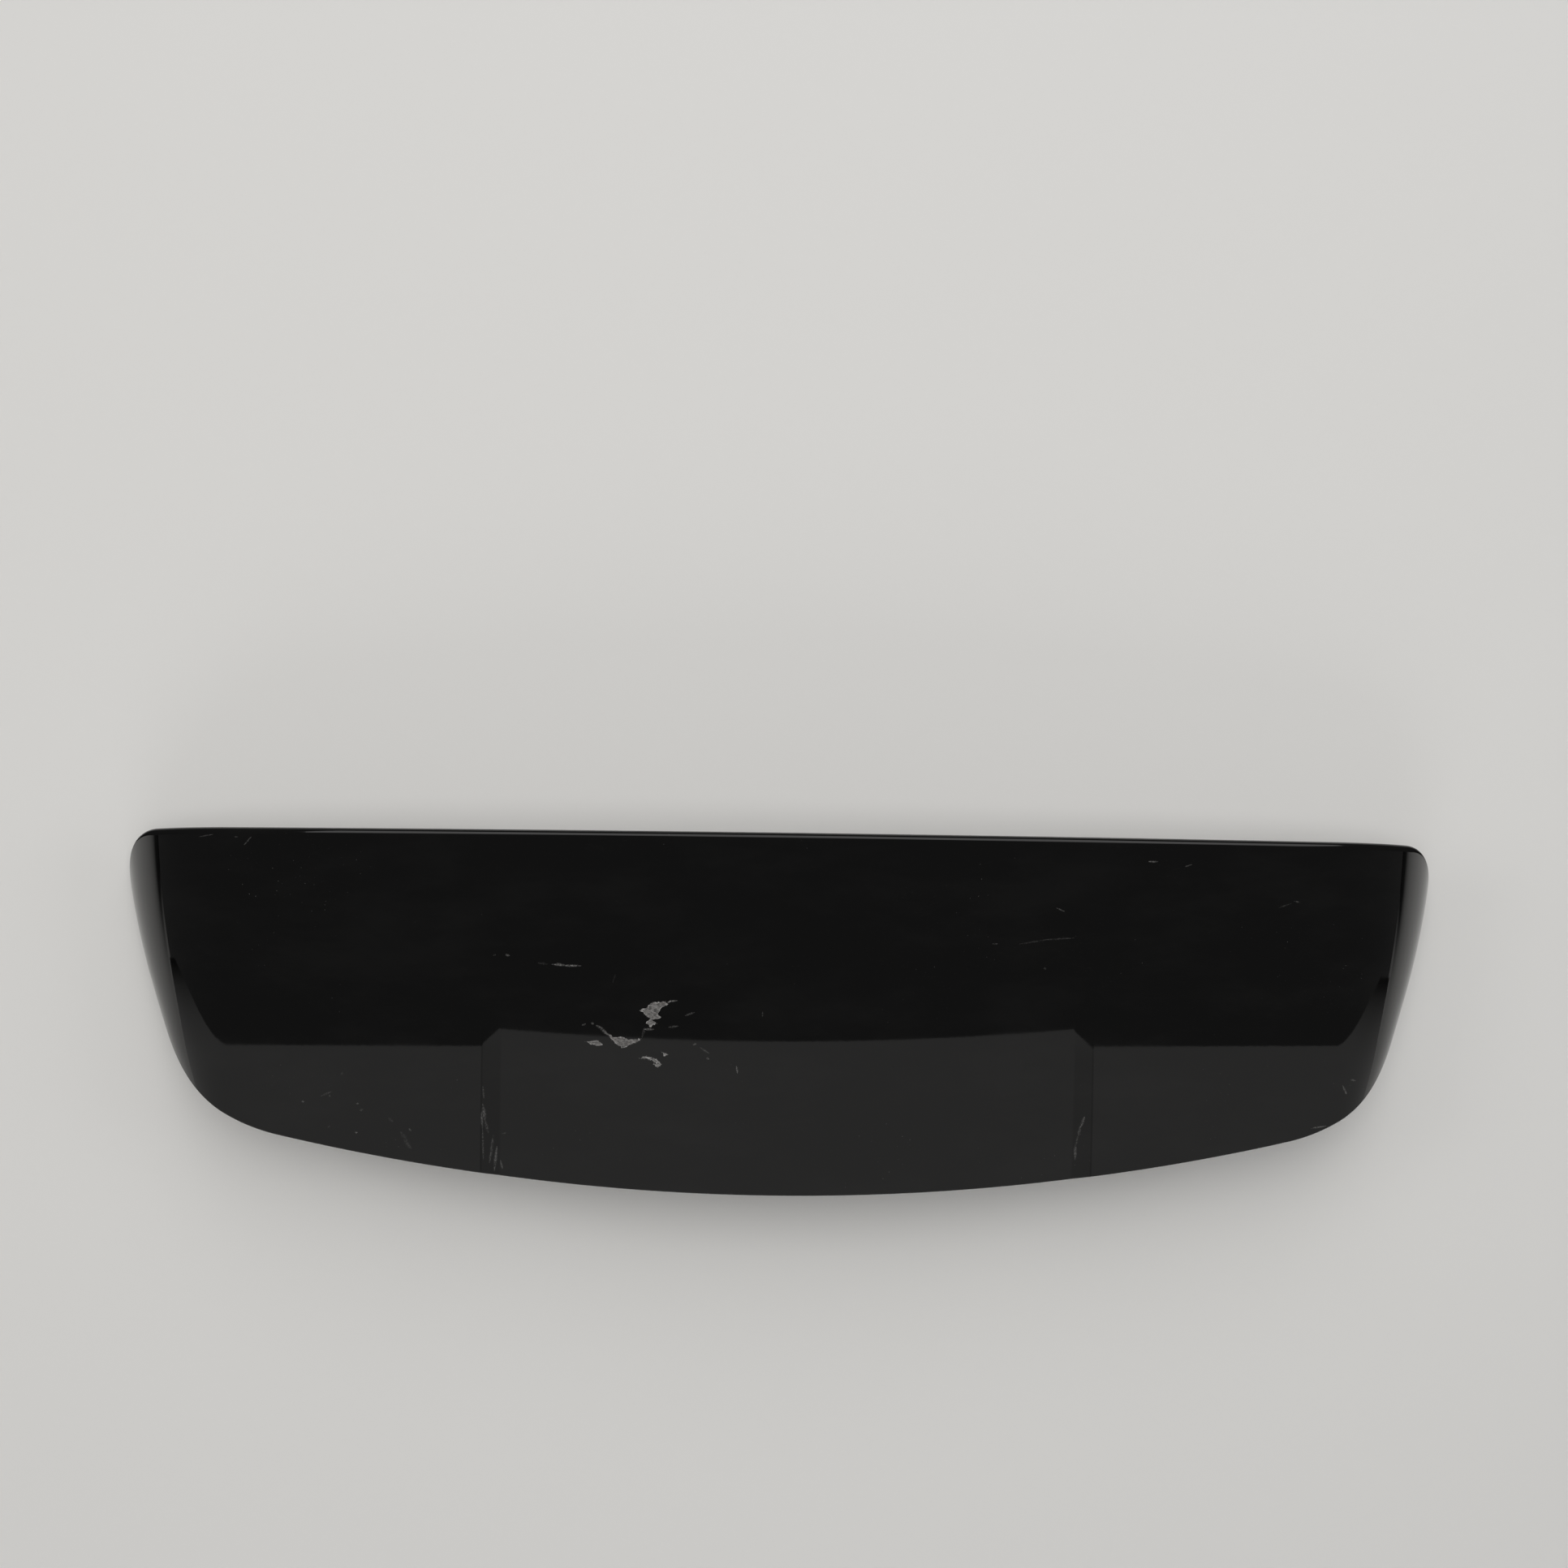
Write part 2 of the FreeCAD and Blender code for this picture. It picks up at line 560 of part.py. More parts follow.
CLIP_LINE = "(%s / 2 - %s)" % (cell("overall_width"), cell("clip_inset"))
clip_root = "%s - %s" % (cell("panel_height"), crown_fall(CLIP_LINE))
clip_seat = "%s - %s" % (clip_root, cell("clip_tower_height"))
clip_places = []
clip_towers = []
clip_sockets = []
for sign in (LEFT, RIGHT):
    clip_x = "%d * %s" % (sign, CLIP_LINE)
    for sign_y, clip_y in ends("clip_spacing_along"):
        number = len(clip_places) + 1
        clip_places.append((clip_x, clip_y))
        clip_towers.append(box("clip_tower_%d" % number, cell("clip_tower_width"), cell("clip_tower_length"),
                               "%s + %s / 2" % (cell("clip_tower_height"), wall), clip_x, clip_y, clip_seat))
        clip_sockets.append(box("clip_socket_%d" % number,
                                "%s + 2 * %s" % (cell("clip_blade"), cell("clip_socket_gap")),
                                "%s + 2 * %s" % (cell("clip_stem_width"), cell("clip_socket_gap")),
                                cell("clip_socket_depth"), clip_x, clip_y, clip_seat))

panel_solid = fuse("panel_solid", [panel_sheet, ribs] + bosses + pins + clip_towers)
panel_drilled = boolean("Cut", "panel_drilled", panel_solid, fuse("panel_holes", stud_holes + clip_sockets))
lower_panel = boolean("Common", "lower_panel", panel_drilled, bond_room)

# Studs and their foam rings

studs = []
rings = []
for number, (stud_x, stud_y) in enumerate(stud_places, start=1):
    shank = cylinder("stud_shank_%d" % number, cell("stud_diameter"), cell("stud_reach"), stud_x, stud_y,
                     "-%s" % cell("stud_reach"))
    neck = box("stud_neck_%d" % number, cell("stud_neck"), cell("stud_neck"), boss_top, stud_x, stud_y, "0")
    head = doc.addObject("Part::Prism", "stud_head_%d" % number)
    head.Polygon = 6
    bind(head, Circumradius="%s / sqrt(3) * 1 mm" % cell("stud_head_size"),
         Height="%s * 1 mm" % cell("stud_head_height"))
    place(head, stud_x, stud_y, boss_top)
    studs.append(fuse("stud_%d" % number, [shank, neck, head]))
    disc = cylinder("ring_disc_%d" % number, cell("boss_diameter"), cell("gasket_height"), stud_x, stud_y, "0")
    hole = cylinder("ring_hole_%d" % number,
                    "%s * sqrt(2) + 2 * %s" % (cell("stud_neck"), cell("gasket_gap")),
                    cell("gasket_height"), stud_x, stud_y, "0")
    rings.append(boolean("Cut", "ring_%d" % number, disc, hole))
mounting_studs = group("mounting_studs", studs)
stud_gaskets = group("stud_gaskets", rings)

# Front seal: a foot on the inside of the front flange, with a bulb below the flange's edge

foot_front = "%s - %s" % (lead_y, cell("skin_wall"))
foot_rear = "%s - %s" % (foot_front, cell("seal_wall"))
bulb = cell("seal_bulb_diameter")
seal_profile = (
    (foot_front, "%s + %s" % (flange_edge, cell("seal_foot"))),
    (foot_rear, "%s + %s" % (flange_edge, cell("seal_foot"))),
    (foot_rear, flange_edge),
    ("%s - %s / 4" % (foot_rear, bulb), "%s - %s / 4" % (flange_edge, bulb)),
    ("%s - %s / 4" % (foot_rear, bulb), "%s - %s * 3 / 4" % (flange_edge, bulb)),
    (foot_rear, "%s - %s" % (flange_edge, bulb)),
    (foot_front, "%s - %s" % (flange_edge, bulb)),
    ("%s + %s / 4" % (foot_front, bulb), "%s - %s * 3 / 4" % (flange_edge, bulb)),
    ("%s + %s / 4" % (foot_front, bulb), "%s - %s / 4" % (flange_edge, bulb)),
    (foot_front, flange_edge),
)
front_seal = swept("front_seal", seal_profile, "(%s - 2 * %s)" % (CROWN_WIDTH, cell("seal_inset")))

# Push-in clips under the two ends: a flat blade with barbs, pushed into its tower above a flange

CLIP_BARBS = 3


def clip_blade(name):
    """The blade's outline, drawn from its tip to its top on both sides, and padded to its thickness."""
    body = doc.addObject("PartDesign::Body", name)
    sketch = new_sketch(body, name + "_sketch", "YZ_Plane")
    stem = "%s / 2" % cell("clip_stem_width")
    barb = "%s / 2" % cell("clip_barb_width")
    pitch = cell("clip_barb_pitch")
    side = [(stem, cell("clip_socket_depth"))]
    for step in range(1, CLIP_BARBS + 1):
        side.append((stem, "-%d * %s" % (step, pitch)))
        side.append((barb, "-%d * %s" % (step, pitch)))
    side.append(("%s / 2" % stem, "-%d * %s" % (CLIP_BARBS + 1, pitch)))
    points = side + [("-(%s)" % y, z) for y, z in reversed(side)]
    polygon(sketch, points)
    doc.recompute()
    pad = body.newObject("PartDesign::Pad", name + "_pad")
    pad.Profile = sketch
    pad.SideType = "Symmetric"
    pad.setExpression("Length", "%s * 1 mm" % cell("clip_blade"))
    return body


clips = []
for number, (clip_x, clip_y) in enumerate(clip_places, start=1):
    blade = clip_blade("clip_blade_%d" % number)
    place(blade, clip_x, clip_y, clip_seat)
    flange = box("clip_flange_%d" % number, cell("clip_flange_width"), cell("clip_flange_width"),
                 cell("clip_flange_height"), clip_x, clip_y, "%s - %s" % (clip_seat, cell("clip_flange_height")))
    clips.append(fuse("clip_%d" % number, [blade, flange]))
side_clips = group("side_clips", clips)

# Foam pads under the overhanging rear

pad_middle = "(%s - %s)" % (rear_knee, cell("pad_setback"))
pad_front = "%s + %s / 2" % (pad_middle, cell("pad_length"))
pad_rear = "%s - %s / 2" % (pad_middle, cell("pad_length"))
slope = "%s / %s" % (cell("panel_rear_rise"), cell("panel_rear_run"))


def under_panel(y):
    """Expression for the panel's underside behind the rear knee, on the centre line."""
    return "%s + (%s - (%s)) * %s" % (cell("panel_height"), rear_knee, y, slope)


pad_zone = swept("pad_zone", (
    (pad_front, under_panel(pad_front)),
    (pad_rear, under_panel(pad_rear)),
    (pad_rear, "%s - %s" % (under_panel(pad_rear), cell("pad_height"))),
    (pad_front, "%s - %s" % (under_panel(pad_front), cell("pad_height"))),
), CROWN_WIDTH)
PAD_STEPS = (-1.5, -0.5, 0.5, 1.5)
pad_blocks = []
for number, step in enumerate(PAD_STEPS, start=1):
    block = box("pad_block_%d" % number, cell("pad_width"), "2 * %s" % cell("pad_length"), "%g" % (2 * BELOW),
                "%g * %s" % (step, cell("pad_pitch")), pad_middle, "-%g" % BELOW)
    pad_blocks.append(boolean("Common", "pad_%d" % number, block, pad_zone))
rest_pads = group("rest_pads", pad_blocks)

doc.recompute()

NODES = (upper_skin, lower_panel, mounting_studs, stud_gaskets, front_seal, side_clips, rest_pads)
for node, label in zip(NODES, ("upper_skin", "lower_panel", "mounting_studs", "stud_gaskets", "front_seal",
                               "side_clips", "rest_pads")):
    node.Label = label

for item in doc.Objects:
    if "Invalid" in item.State or "Error" in item.State:
        raise RuntimeError("%s did not build: %s" % (item.Label, item.getStatusString()))
for node in NODES:
    if node.Shape.isNull() or not node.Shape.isValid():
        raise RuntimeError("%s has no valid solid" % node.Label)

os.makedirs("parts", exist_ok=True)
for node in NODES:
    node.Shape.exportStep(os.path.join("parts", node.Label + ".step"))
    print("%s: %d solids, %.1f cm3" % (node.Label, len(node.Shape.Solids), node.Shape.Volume / 1000))
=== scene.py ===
import math

import bpy
import numpy as np
from mathutils import Matrix, Vector


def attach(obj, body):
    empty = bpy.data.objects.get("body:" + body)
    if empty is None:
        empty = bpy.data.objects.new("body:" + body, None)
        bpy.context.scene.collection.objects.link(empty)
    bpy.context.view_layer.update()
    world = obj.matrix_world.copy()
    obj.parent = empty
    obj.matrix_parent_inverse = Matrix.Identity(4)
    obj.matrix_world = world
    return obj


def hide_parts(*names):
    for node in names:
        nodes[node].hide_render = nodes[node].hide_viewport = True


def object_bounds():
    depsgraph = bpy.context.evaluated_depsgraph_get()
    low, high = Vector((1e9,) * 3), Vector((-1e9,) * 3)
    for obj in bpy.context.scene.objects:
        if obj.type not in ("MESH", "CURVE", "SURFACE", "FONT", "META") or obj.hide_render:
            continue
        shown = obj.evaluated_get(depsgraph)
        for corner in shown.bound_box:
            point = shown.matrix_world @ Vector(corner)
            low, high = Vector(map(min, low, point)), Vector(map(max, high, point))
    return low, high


# Looks of the tailgate spoiler. Shapes are worked out in millimetres and built in metres.

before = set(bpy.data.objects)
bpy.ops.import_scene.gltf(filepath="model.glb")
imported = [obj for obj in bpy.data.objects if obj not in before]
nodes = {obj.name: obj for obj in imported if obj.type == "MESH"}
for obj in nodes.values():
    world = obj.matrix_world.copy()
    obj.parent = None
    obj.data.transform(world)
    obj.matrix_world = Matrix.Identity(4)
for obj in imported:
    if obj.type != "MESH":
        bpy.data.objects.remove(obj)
cad_low, cad_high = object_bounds()
MM = 0.001

# Sizes of the painted skin

HALF_WIDTH = 610.0
CHORD = 315.2
FRONT = 105.0
LEAD_HEIGHT = 62.0
FRONT_CORNER = 41.0
SIDE_RADIUS = 640.0
REAR_CORNER = 166.0
TRAILING_RADIUS = 2125.0
TRAILING_HALF = 445.5
PROFILE_RADIUS = 1900.0
CROWN_RADIUS = 5000.0
CROWN_HALF = 490.0
CHEEK_ANGLE = math.radians(66.5)
FLOOR_HALF = 250.5
BAND = 15.7
RECESS_DEPTH = 7.0
RECESS_MIDDLE_DEPTH = 2.0
RECESS_GROWTH = 1.5
RECESS_TAIL = 0.8
ROLL_OUT_RADIUS = 12.0
ROLL_OUT_LENGTH = 88.0
SOLID_ROLL_OUT = 1.0
LEAST_ROLL_SHARE = 0.1
WALL = 3.0
EDGE_RETURN = 12.0
FLANGE_DEPTH = 35.0
EDGE_RADIUS = 1.6
FRONT_EDGE_RADIUS = 6.5
CREASE_ROUNDING = 0.9

# Paint chips as rough outlines in plan: each is a few corners, and the shader makes their edges ragged

CHIPS = (
    ((-130, -51), (-124, -48), (-120, -44), (-110, -43), (-106, -45), (-112, -49), (-115, -54), (-111, -57),
     (-120, -59), (-125, -55)),
    ((-108, -43), (-101, -42), (-106, -44)),
    ((-125, -62), (-121, -58), (-115, -62), (-121, -65)),
    ((-160, -69), (-153, -74), (-144, -74), (-139, -76), (-127, -75), (-137, -80), (-143, -83), (-150, -81),
     (-154, -76)),
    ((-177, -78), (-166, -77), (-161, -81), (-167, -82)),
    ((-131, -92), (-124, -90), (-117, -92), (-113, -94), (-111, -97), (-114, -100), (-118, -97), (-115, -96),
     (-118, -94), (-124, -92)),
    ((-111, -86), (-105, -89), (-109, -90)),
)

# Scratches as straight lines in plan, with a half width and a strength

SCRATCHES = (
    ((-168, -64), (-163, -67), 0.7, 0.3),
    ((-165, -65), (-158, -72), 0.9, 0.42),
    ((-172, -62), (-170, -63), 0.6, 0.35),
    ((-180, -64), (-177, -63), 0.6, 0.3),
    ((-105, -43), (-98, -42), 0.5, 0.3),
    ((-126, -67), (-118, -67), 0.7, 0.4),
    ((-126, -66), (-128, -74), 0.7, 0.22),
    ((-219, -11), (-211, -12), 0.6, 0.12),
    ((-207, -12), (-193, -13), 0.6, 0.5),
    ((-198, -13), (-182, -13), 0.6, 0.5),
    ((-203, -11), (-194, -13), 0.4, 0.4),
    ((-258, -5), (-256, -4), 0.5, 0.2),
    ((-248, -4), (-244, -5), 0.6, 0.4),
    ((-522, 96), (-509, 98), 0.4, 0.2),
    ((-489, 96), (-486, 96), 0.4, 0.25),
    ((-480, 89), (-474, 96), 0.4, 0.25),
    ((316, 84), (324, 84), 0.5, 0.4),
    ((349, 80), (355, 82), 0.4, 0.2),
    ((449, 51), (455, 50), 0.4, 0.45),
    ((435, 45), (447, 49), 0.4, 0.12),
    ((200, 10), (224, 14), 0.5, 0.1),
    ((221, 14), (250, 16), 0.5, 0.12),
    ((176, 10), (181, 10), 0.4, 0.12),
    ((222, -11), (224, -11), 0.6, 0.2),
    ((233, 42), (240, 39), 0.4, 0.3),
    ((503, -107), (508, -108), 0.6, 0.4),
    ((495, -112), (499, -120), 0.6, 0.35),
    ((466, -150), (480, -148), 0.5, 0.35),
    ((-46, -98), (-45, -104), 0.5, 0.5),
    ((-24, -51), (-24, -55), 0.4, 0.25),
    ((-105, -65), (-97, -64), 0.6, 0.2),
    ((-91, -55), (-83, -52), 0.6, 0.18),
    ((-84, -80), (-81, -79), 0.6, 0.3),
    ((-78, -82), (-70, -87), 0.5, 0.2),
    ((-72, -91), (-70, -92), 0.7, 0.3),
    ((-265, -118), (-264, -128), 0.5, 0.2),
    ((-265, -133), (-263, -147), 1.0, 0.28),
    ((-266, -140), (-265, -154), 0.6, 0.28),
    ((-265, -154), (-264, -181), 0.5, 0.2),
    ((-263, -147), (-260, -158), 0.8, 0.14),
    ((-256, -160), (-259, -184), 0.8, 0.18),
    ((-253, -170), (-255, -191), 0.8, 0.28),
    ((-250, -182), (-248, -190), 0.6, 0.22),
    ((-249, -159), (-245, -158), 0.4, 0.2),
    ((260, -140), (257, -149), 0.8, 0.32),
    ((257, -147), (255, -158), 0.7, 0.24),
    ((255, -156), (253, -167), 0.6, 0.15),
    ((253, -165), (253, -178), 0.8, 0.28),
    ((-152, -20), (-154, -27), 0.5, 0.08),
    ((-423, -133), (-421, -133), 0.6, 0.4),
    ((-399, -128), (-398, -128), 0.6, 0.4),
    ((-376, -159), (-374, -159), 0.6, 0.4),
    ((-389, -110), (-387, -107), 0.6, 0.12),
    ((-406, -128), (-397, -124), 0.5, 0.2),
    ((-375, -134), (-373, -134), 0.6, 0.25),
    ((-372, -140), (-369, -139), 0.8, 0.1),
    ((-347, -146), (-343, -149), 0.8, 0.1),
    ((-336, -158), (-330, -166), 1.2, 0.07),
    ((-333, -164), (-327, -172), 1.4, 0.08),
    ((-329, -155), (-327, -157), 0.6, 0.18),
    ((-400, -155), (-398, -154), 0.5, 0.15),
)

# Plan outline of the right half: four arcs that touch each other

trail_turn = math.asin(TRAILING_HALF / TRAILING_RADIUS)
trail_way = np.array([math.sin(trail_turn), -math.cos(trail_turn)])
trail_centre = np.array([0.0, FRONT - CHORD + RECESS_TAIL + TRAILING_RADIUS])
rear_centre = trail_centre + trail_way * (TRAILING_RADIUS - REAR_CORNER)
front_centre = np.array([HALF_WIDTH - FRONT_CORNER, FRONT - FRONT_CORNER])
centre_gap = front_centre - rear_centre
gap_length = float(np.hypot(*centre_gap))
rear_reach = SIDE_RADIUS - REAR_CORNER
front_reach = SIDE_RADIUS - FRONT_CORNER
gap_along = (gap_length ** 2 + rear_reach ** 2 - front_reach ** 2) / (2 * gap_length)
gap_across = math.sqrt(rear_reach ** 2 - gap_along ** 2)
gap_way = centre_gap / gap_length
side_centre = rear_centre + gap_way * gap_along + np.array([-gap_way[1], gap_way[0]]) * gap_across


def way_angle(start, end):
    return math.atan2(end[1] - start[1], end[0] - start[0])


REAR_FIRST = way_angle(np.zeros(2), trail_way)
REAR_LAST = way_angle(side_centre, rear_centre)
SIDE_LAST = way_angle(side_centre, front_centre)
REAR_SPLIT = math.radians(-48.0)
FRONT_SPLIT = math.radians(45.0)
side_start_y = rear_centre[1] + REAR_CORNER * math.sin(REAR_LAST)


def soft_share(depth, full, rounding):
    """Share from 0 to 1 across a band, with rounded ends."""
    def area(t):
        inside = np.clip(t, 0, full)
        return inside ** 2 / (2 * full) + np.maximum(t - full, 0)
    return (area(depth + rounding) - area(depth - rounding)) / (2 * rounding)


def recess_share(x):
    return soft_share(FLOOR_HALF + BAND - np.abs(x), BAND, CREASE_ROUNDING)


def cheek_reach(y):
    side = side_centre[0] + np.sqrt(np.maximum(SIDE_RADIUS ** 2 - (y - side_centre[1]) ** 2, 0))
    rear = rear_centre[0] + np.sqrt(np.maximum(REAR_CORNER ** 2 - (y - rear_centre[1]) ** 2, 0))
    return np.where(y > side_start_y, side, rear)


def crown_fall(x):
    return CROWN_RADIUS - np.sqrt(CROWN_RADIUS ** 2 - np.square(x))


def top(x, y, roll_out=ROLL_OUT_LENGTH):
    """Height of the painted face over the plan. The cheek's roll starts gently where it runs out."""
    behind = FRONT - y
    height = LEAD_HEIGHT - (PROFILE_RADIUS - np.sqrt(PROFILE_RADIUS ** 2 - behind ** 2))
    away = np.abs(x)
    start = CROWN_HALF / CROWN_RADIUS
    reach = cheek_reach(y) - CROWN_HALF
    grown = np.clip(reach / roll_out, 0, 1)
    start_angle = math.asin(start)
    angle = start_angle + (CHEEK_ANGLE - start_angle) * np.maximum(grown * (2 - grown), LEAST_ROLL_SHARE)
    last = np.sin(angle)
    roll = np.maximum(reach / (last - start), ROLL_OUT_RADIUS)
    past = np.maximum(away - CROWN_HALF, 0)
    turned = np.minimum(start + past / roll, last)
    rolled = roll * (math.sqrt(1 - start ** 2) - np.sqrt(1 - turned ** 2))
    straight = np.maximum(past - roll * (last - start), 0) * np.tan(angle)
    growth = (np.maximum(behind, 0) / CHORD) ** RECESS_GROWTH
    floor_share = np.minimum(away / FLOOR_HALF, 1) ** 2
    depth = growth * (RECESS_MIDDLE_DEPTH + (RECESS_DEPTH - RECESS_MIDDLE_DEPTH) * floor_share)
    return height - crown_fall(np.minimum(away, CROWN_HALF)) - rolled - straight - depth * recess_share(x)


def top_normal(x, y):
    step = 0.05
    slope_x = (top(x + step, y) - top(x - step, y)) / (2 * step)
    slope_y = (top(x, y + step) - top(x, y - step)) / (2 * step)
    normal = np.stack([-slope_x, -slope_y, np.ones_like(slope_x)], axis=-1)
    return normal / np.linalg.norm(normal, axis=-1, keepdims=True)


def trailing_y(x):
    radius = TRAILING_RADIUS + RECESS_TAIL * recess_share(x)
    return trail_centre[1] - np.sqrt(radius ** 2 - np.square(x))


def arc(centre, radius, angles):
    """Points and outward directions of an arc of the plan."""
    ways = np.stack([np.cos(angles), np.sin(angles)], axis=-1)
    return centre + ways * radius, ways


def even(points, ways, shares):
    """Points and directions at shares of a line's whole length."""
    lengths = np.r_[0, np.cumsum(np.linalg.norm(np.diff(points, axis=0), axis=1))]
    at = np.asarray(shares) * lengths[-1]
    pick = np.stack([np.interp(at, lengths, points[:, k]) for k in (0, 1)], axis=-1)
    way = np.stack([np.interp(at, lengths, ways[:, k]) for k in (0, 1)], axis=-1)
    return pick, way / np.linalg.norm(way, axis=1, keepdims=True)


def edge_lines(columns, shares, end_steps):
    """Right half of the outline as the sides of one grid, each with outward directions."""
    fine = 400
    rear_mid = np.stack([columns, trailing_y(columns)], axis=-1)
    rear_mid_way = rear_mid - trail_centre
    rear_mid_way /= np.linalg.norm(rear_mid_way, axis=1, keepdims=True)
    front_mid = np.stack([columns, np.full_like(columns, FRONT)], axis=-1)
    front_mid_way = np.tile([0.0, 1.0], (len(columns), 1))
    rear_end = arc(rear_centre, REAR_CORNER, np.linspace(REAR_FIRST, REAR_SPLIT, end_steps + 1)[1:])
    corner = arc(front_centre, FRONT_CORNER, np.linspace(math.pi / 2, FRONT_SPLIT, fine))
    lead_points = np.vstack([[[TRAILING_HALF, FRONT]], corner[0]])
    lead_ways = np.vstack([[[0.0, 1.0]], corner[1]])
    front_end = even(lead_points, lead_ways, np.linspace(0, 1, end_steps + 1)[1:])
    cheek = [
        arc(rear_centre, REAR_CORNER, np.linspace(REAR_SPLIT, REAR_LAST, fine)),
        arc(side_centre, SIDE_RADIUS, np.linspace(REAR_LAST, SIDE_LAST, fine)[1:]),
        arc(front_centre, FRONT_CORNER, np.linspace(SIDE_LAST, FRONT_SPLIT, fine)[1:]),
    ]
    right = even(np.vstack([part[0] for part in cheek]), np.vstack([part[1] for part in cheek]), shares)
    return {"rear_mid": (rear_mid, rear_mid_way), "front_mid": (front_mid, front_mid_way),
            "rear_end": rear_end, "front_end": front_end, "right": right}


def moved_in(points, ways, inset):
    return points - ways * np.reshape(inset, (-1, 1))


def edge_slope(points, ways):
    """Angle at which the painted face falls across the outline."""
    step = 0.05
    inside = moved_in(points, ways, step)
    fall = (top(inside[:, 0], inside[:, 1]) - top(points[:, 0], points[:, 1])) / step
    return np.arctan(np.maximum(fall, 0))


def edge_radius(ways):
    """Radius of the skin's edge: larger along the leading edge."""
    front = np.clip(ways[:, 1] * 2 - 1, 0, 1)
    return EDGE_RADIUS + (FRONT_EDGE_RADIUS - EDGE_RADIUS) * front


def rounded_inset(points, ways):
    return edge_radius(ways) * (1 - np.sin(edge_slope(points, ways)))


def wall_inset(points, ways):
    return np.full(len(points), WALL)


def plan_grid(lines, shares, inset):
    """Grid of plan points inside the outline: straight columns, and a blended patch at each end."""
    sides = {name: moved_in(*line, inset(*line)) for name, line in lines.items()}
    share = np.asarray(shares)[:, None, None]
    middle = (1 - share) * sides["rear_mid"][None] + share * sides["front_mid"][None]
    rear = np.vstack([sides["rear_mid"][-1:], sides["rear_end"]])
    front = np.vstack([sides["front_mid"][-1:], sides["front_end"]])
    inner = middle[:, -1]
    outer = sides["right"]
    across = np.linspace(0, 1, len(rear))[None, :, None]
    blend = (1 - share) * rear[None] + share * front[None]
    blend = blend + (1 - across) * inner[:, None] + across * outer[:, None]
    blend = blend - (1 - across) * ((1 - share) * rear[0] + share * front[0])
    blend = blend - across * ((1 - share) * rear[-1] + share * front[-1])
    right = blend[:, 1:]
    left = right[:, ::-1] * np.array([-1.0, 1.0])
    return np.concatenate([left, middle, right], axis=1)


def mirrored(points):
    return points * np.array([-1.0, 1.0])


def loop_of(lines):
    """The outline's points and outward directions in order round the part, from the left rear corner."""
    kinds = []
    for which in (0, 1):
        rear_end = lines["rear_end"][which]
        front_end = lines["front_end"][which]
        right = lines["right"][which]
        rear = np.vstack([mirrored(rear_end[::-1]), lines["rear_mid"][which], rear_end])
        front = np.vstack([mirrored(front_end[::-1]), lines["front_mid"][which], front_end])
        kinds.append(np.vstack([rear, right[1:-1], front[::-1], mirrored(right[1:-1][::-1])]))
    return kinds


def spaced(stops):
    """Places along a line: each stop gives an end and the step up to it."""
    places = [stops[0][0]]
    for end, step in stops[1:]:
        count = max(1, int(round((end - places[-1]) / step)))
        places += list(np.linspace(places[-1], end, count + 1)[1:])
    return np.array(places)


class Builder:
    """Collects the parts of one mesh, with a normal for each corner point and a material for each face."""

    def __init__(self):
        self.points = []
        self.normals = []
        self.faces = []
        self.materials = []
        self.count = 0

    def add(self, points, normals, material, flip=False, closed=False):
        rows, columns = points.shape[:2]
        index = np.arange(rows * columns).reshape(rows, columns) + self.count
        following = np.roll(index, -1, axis=1) if closed else index[:, 1:]
        first = index if closed else index[:, :-1]
        faces = np.stack([first[:-1], following[:-1], following[1:], first[1:]], axis=-1).reshape(-1, 4)
        if flip:
            faces = faces[:, ::-1]
        self.points.append(points.reshape(-1, 3))
        self.normals.append(normals.reshape(-1, 3))
        self.faces.append(faces)
        self.materials.append(np.full(len(faces), material))
        self.count += rows * columns

    def make(self, name, materials):
        points = np.vstack(self.points) * MM
        faces = np.vstack(self.faces)
        mesh = bpy.data.meshes.new(name)
        mesh.vertices.add(len(points))
        mesh.vertices.foreach_set("co", points.astype(np.float32).ravel())
        mesh.loops.add(faces.size)
        mesh.loops.foreach_set("vertex_index", faces.astype(np.int32).ravel())
        mesh.polygons.add(len(faces))
        mesh.polygons.foreach_set("loop_start", np.arange(0, faces.size, 4, dtype=np.int32))
        mesh.polygons.foreach_set("material_index", np.concatenate(self.materials).astype(np.int32))
        mesh.polygons.foreach_set("use_smooth", np.ones(len(faces), dtype=bool))
        mesh.update(calc_edges=True)
        for material in materials:
            mesh.materials.append(material)
        normals = np.vstack(self.normals)
        normals = normals / np.linalg.norm(normals, axis=1, keepdims=True)
        mesh.normals_split_custom_set_from_vertices(normals.tolist())
        thing = bpy.data.objects.new(name, mesh)
        bpy.context.scene.collection.objects.link(thing)
        return thing, points / MM


def distance_to(points, outline):
    """Distance in plan from points to a closed outline, below zero inside it."""
    best = np.full(len(points), 1e9)
    inside = np.zeros(len(points), dtype=bool)
    corners = np.array(outline)
    for start, end in zip(corners, np.roll(corners, -1, axis=0)):
        run = end - start
        along = np.clip(((points - start) @ run) / (run @ run), 0, 1)
        best = np.minimum(best, np.linalg.norm(points - start - along[:, None] * run, axis=1))
        crosses = (start[1] > points[:, 1]) != (end[1] > points[:, 1])
        rise = end[1] - start[1] if end[1] != start[1] else 1e-9
        at = start[0] + (points[:, 1] - start[1]) / rise * run[0]
        inside ^= crosses & (points[:, 0] < at)
    return np.where(inside, -best, best)


CHIP_FAR = 8.0


def chip_distance(points):
    nearest = np.full(len(points), CHIP_FAR)
    for outline in CHIPS:
        nearest = np.minimum(nearest, distance_to(points, outline))
    return nearest


# Materials


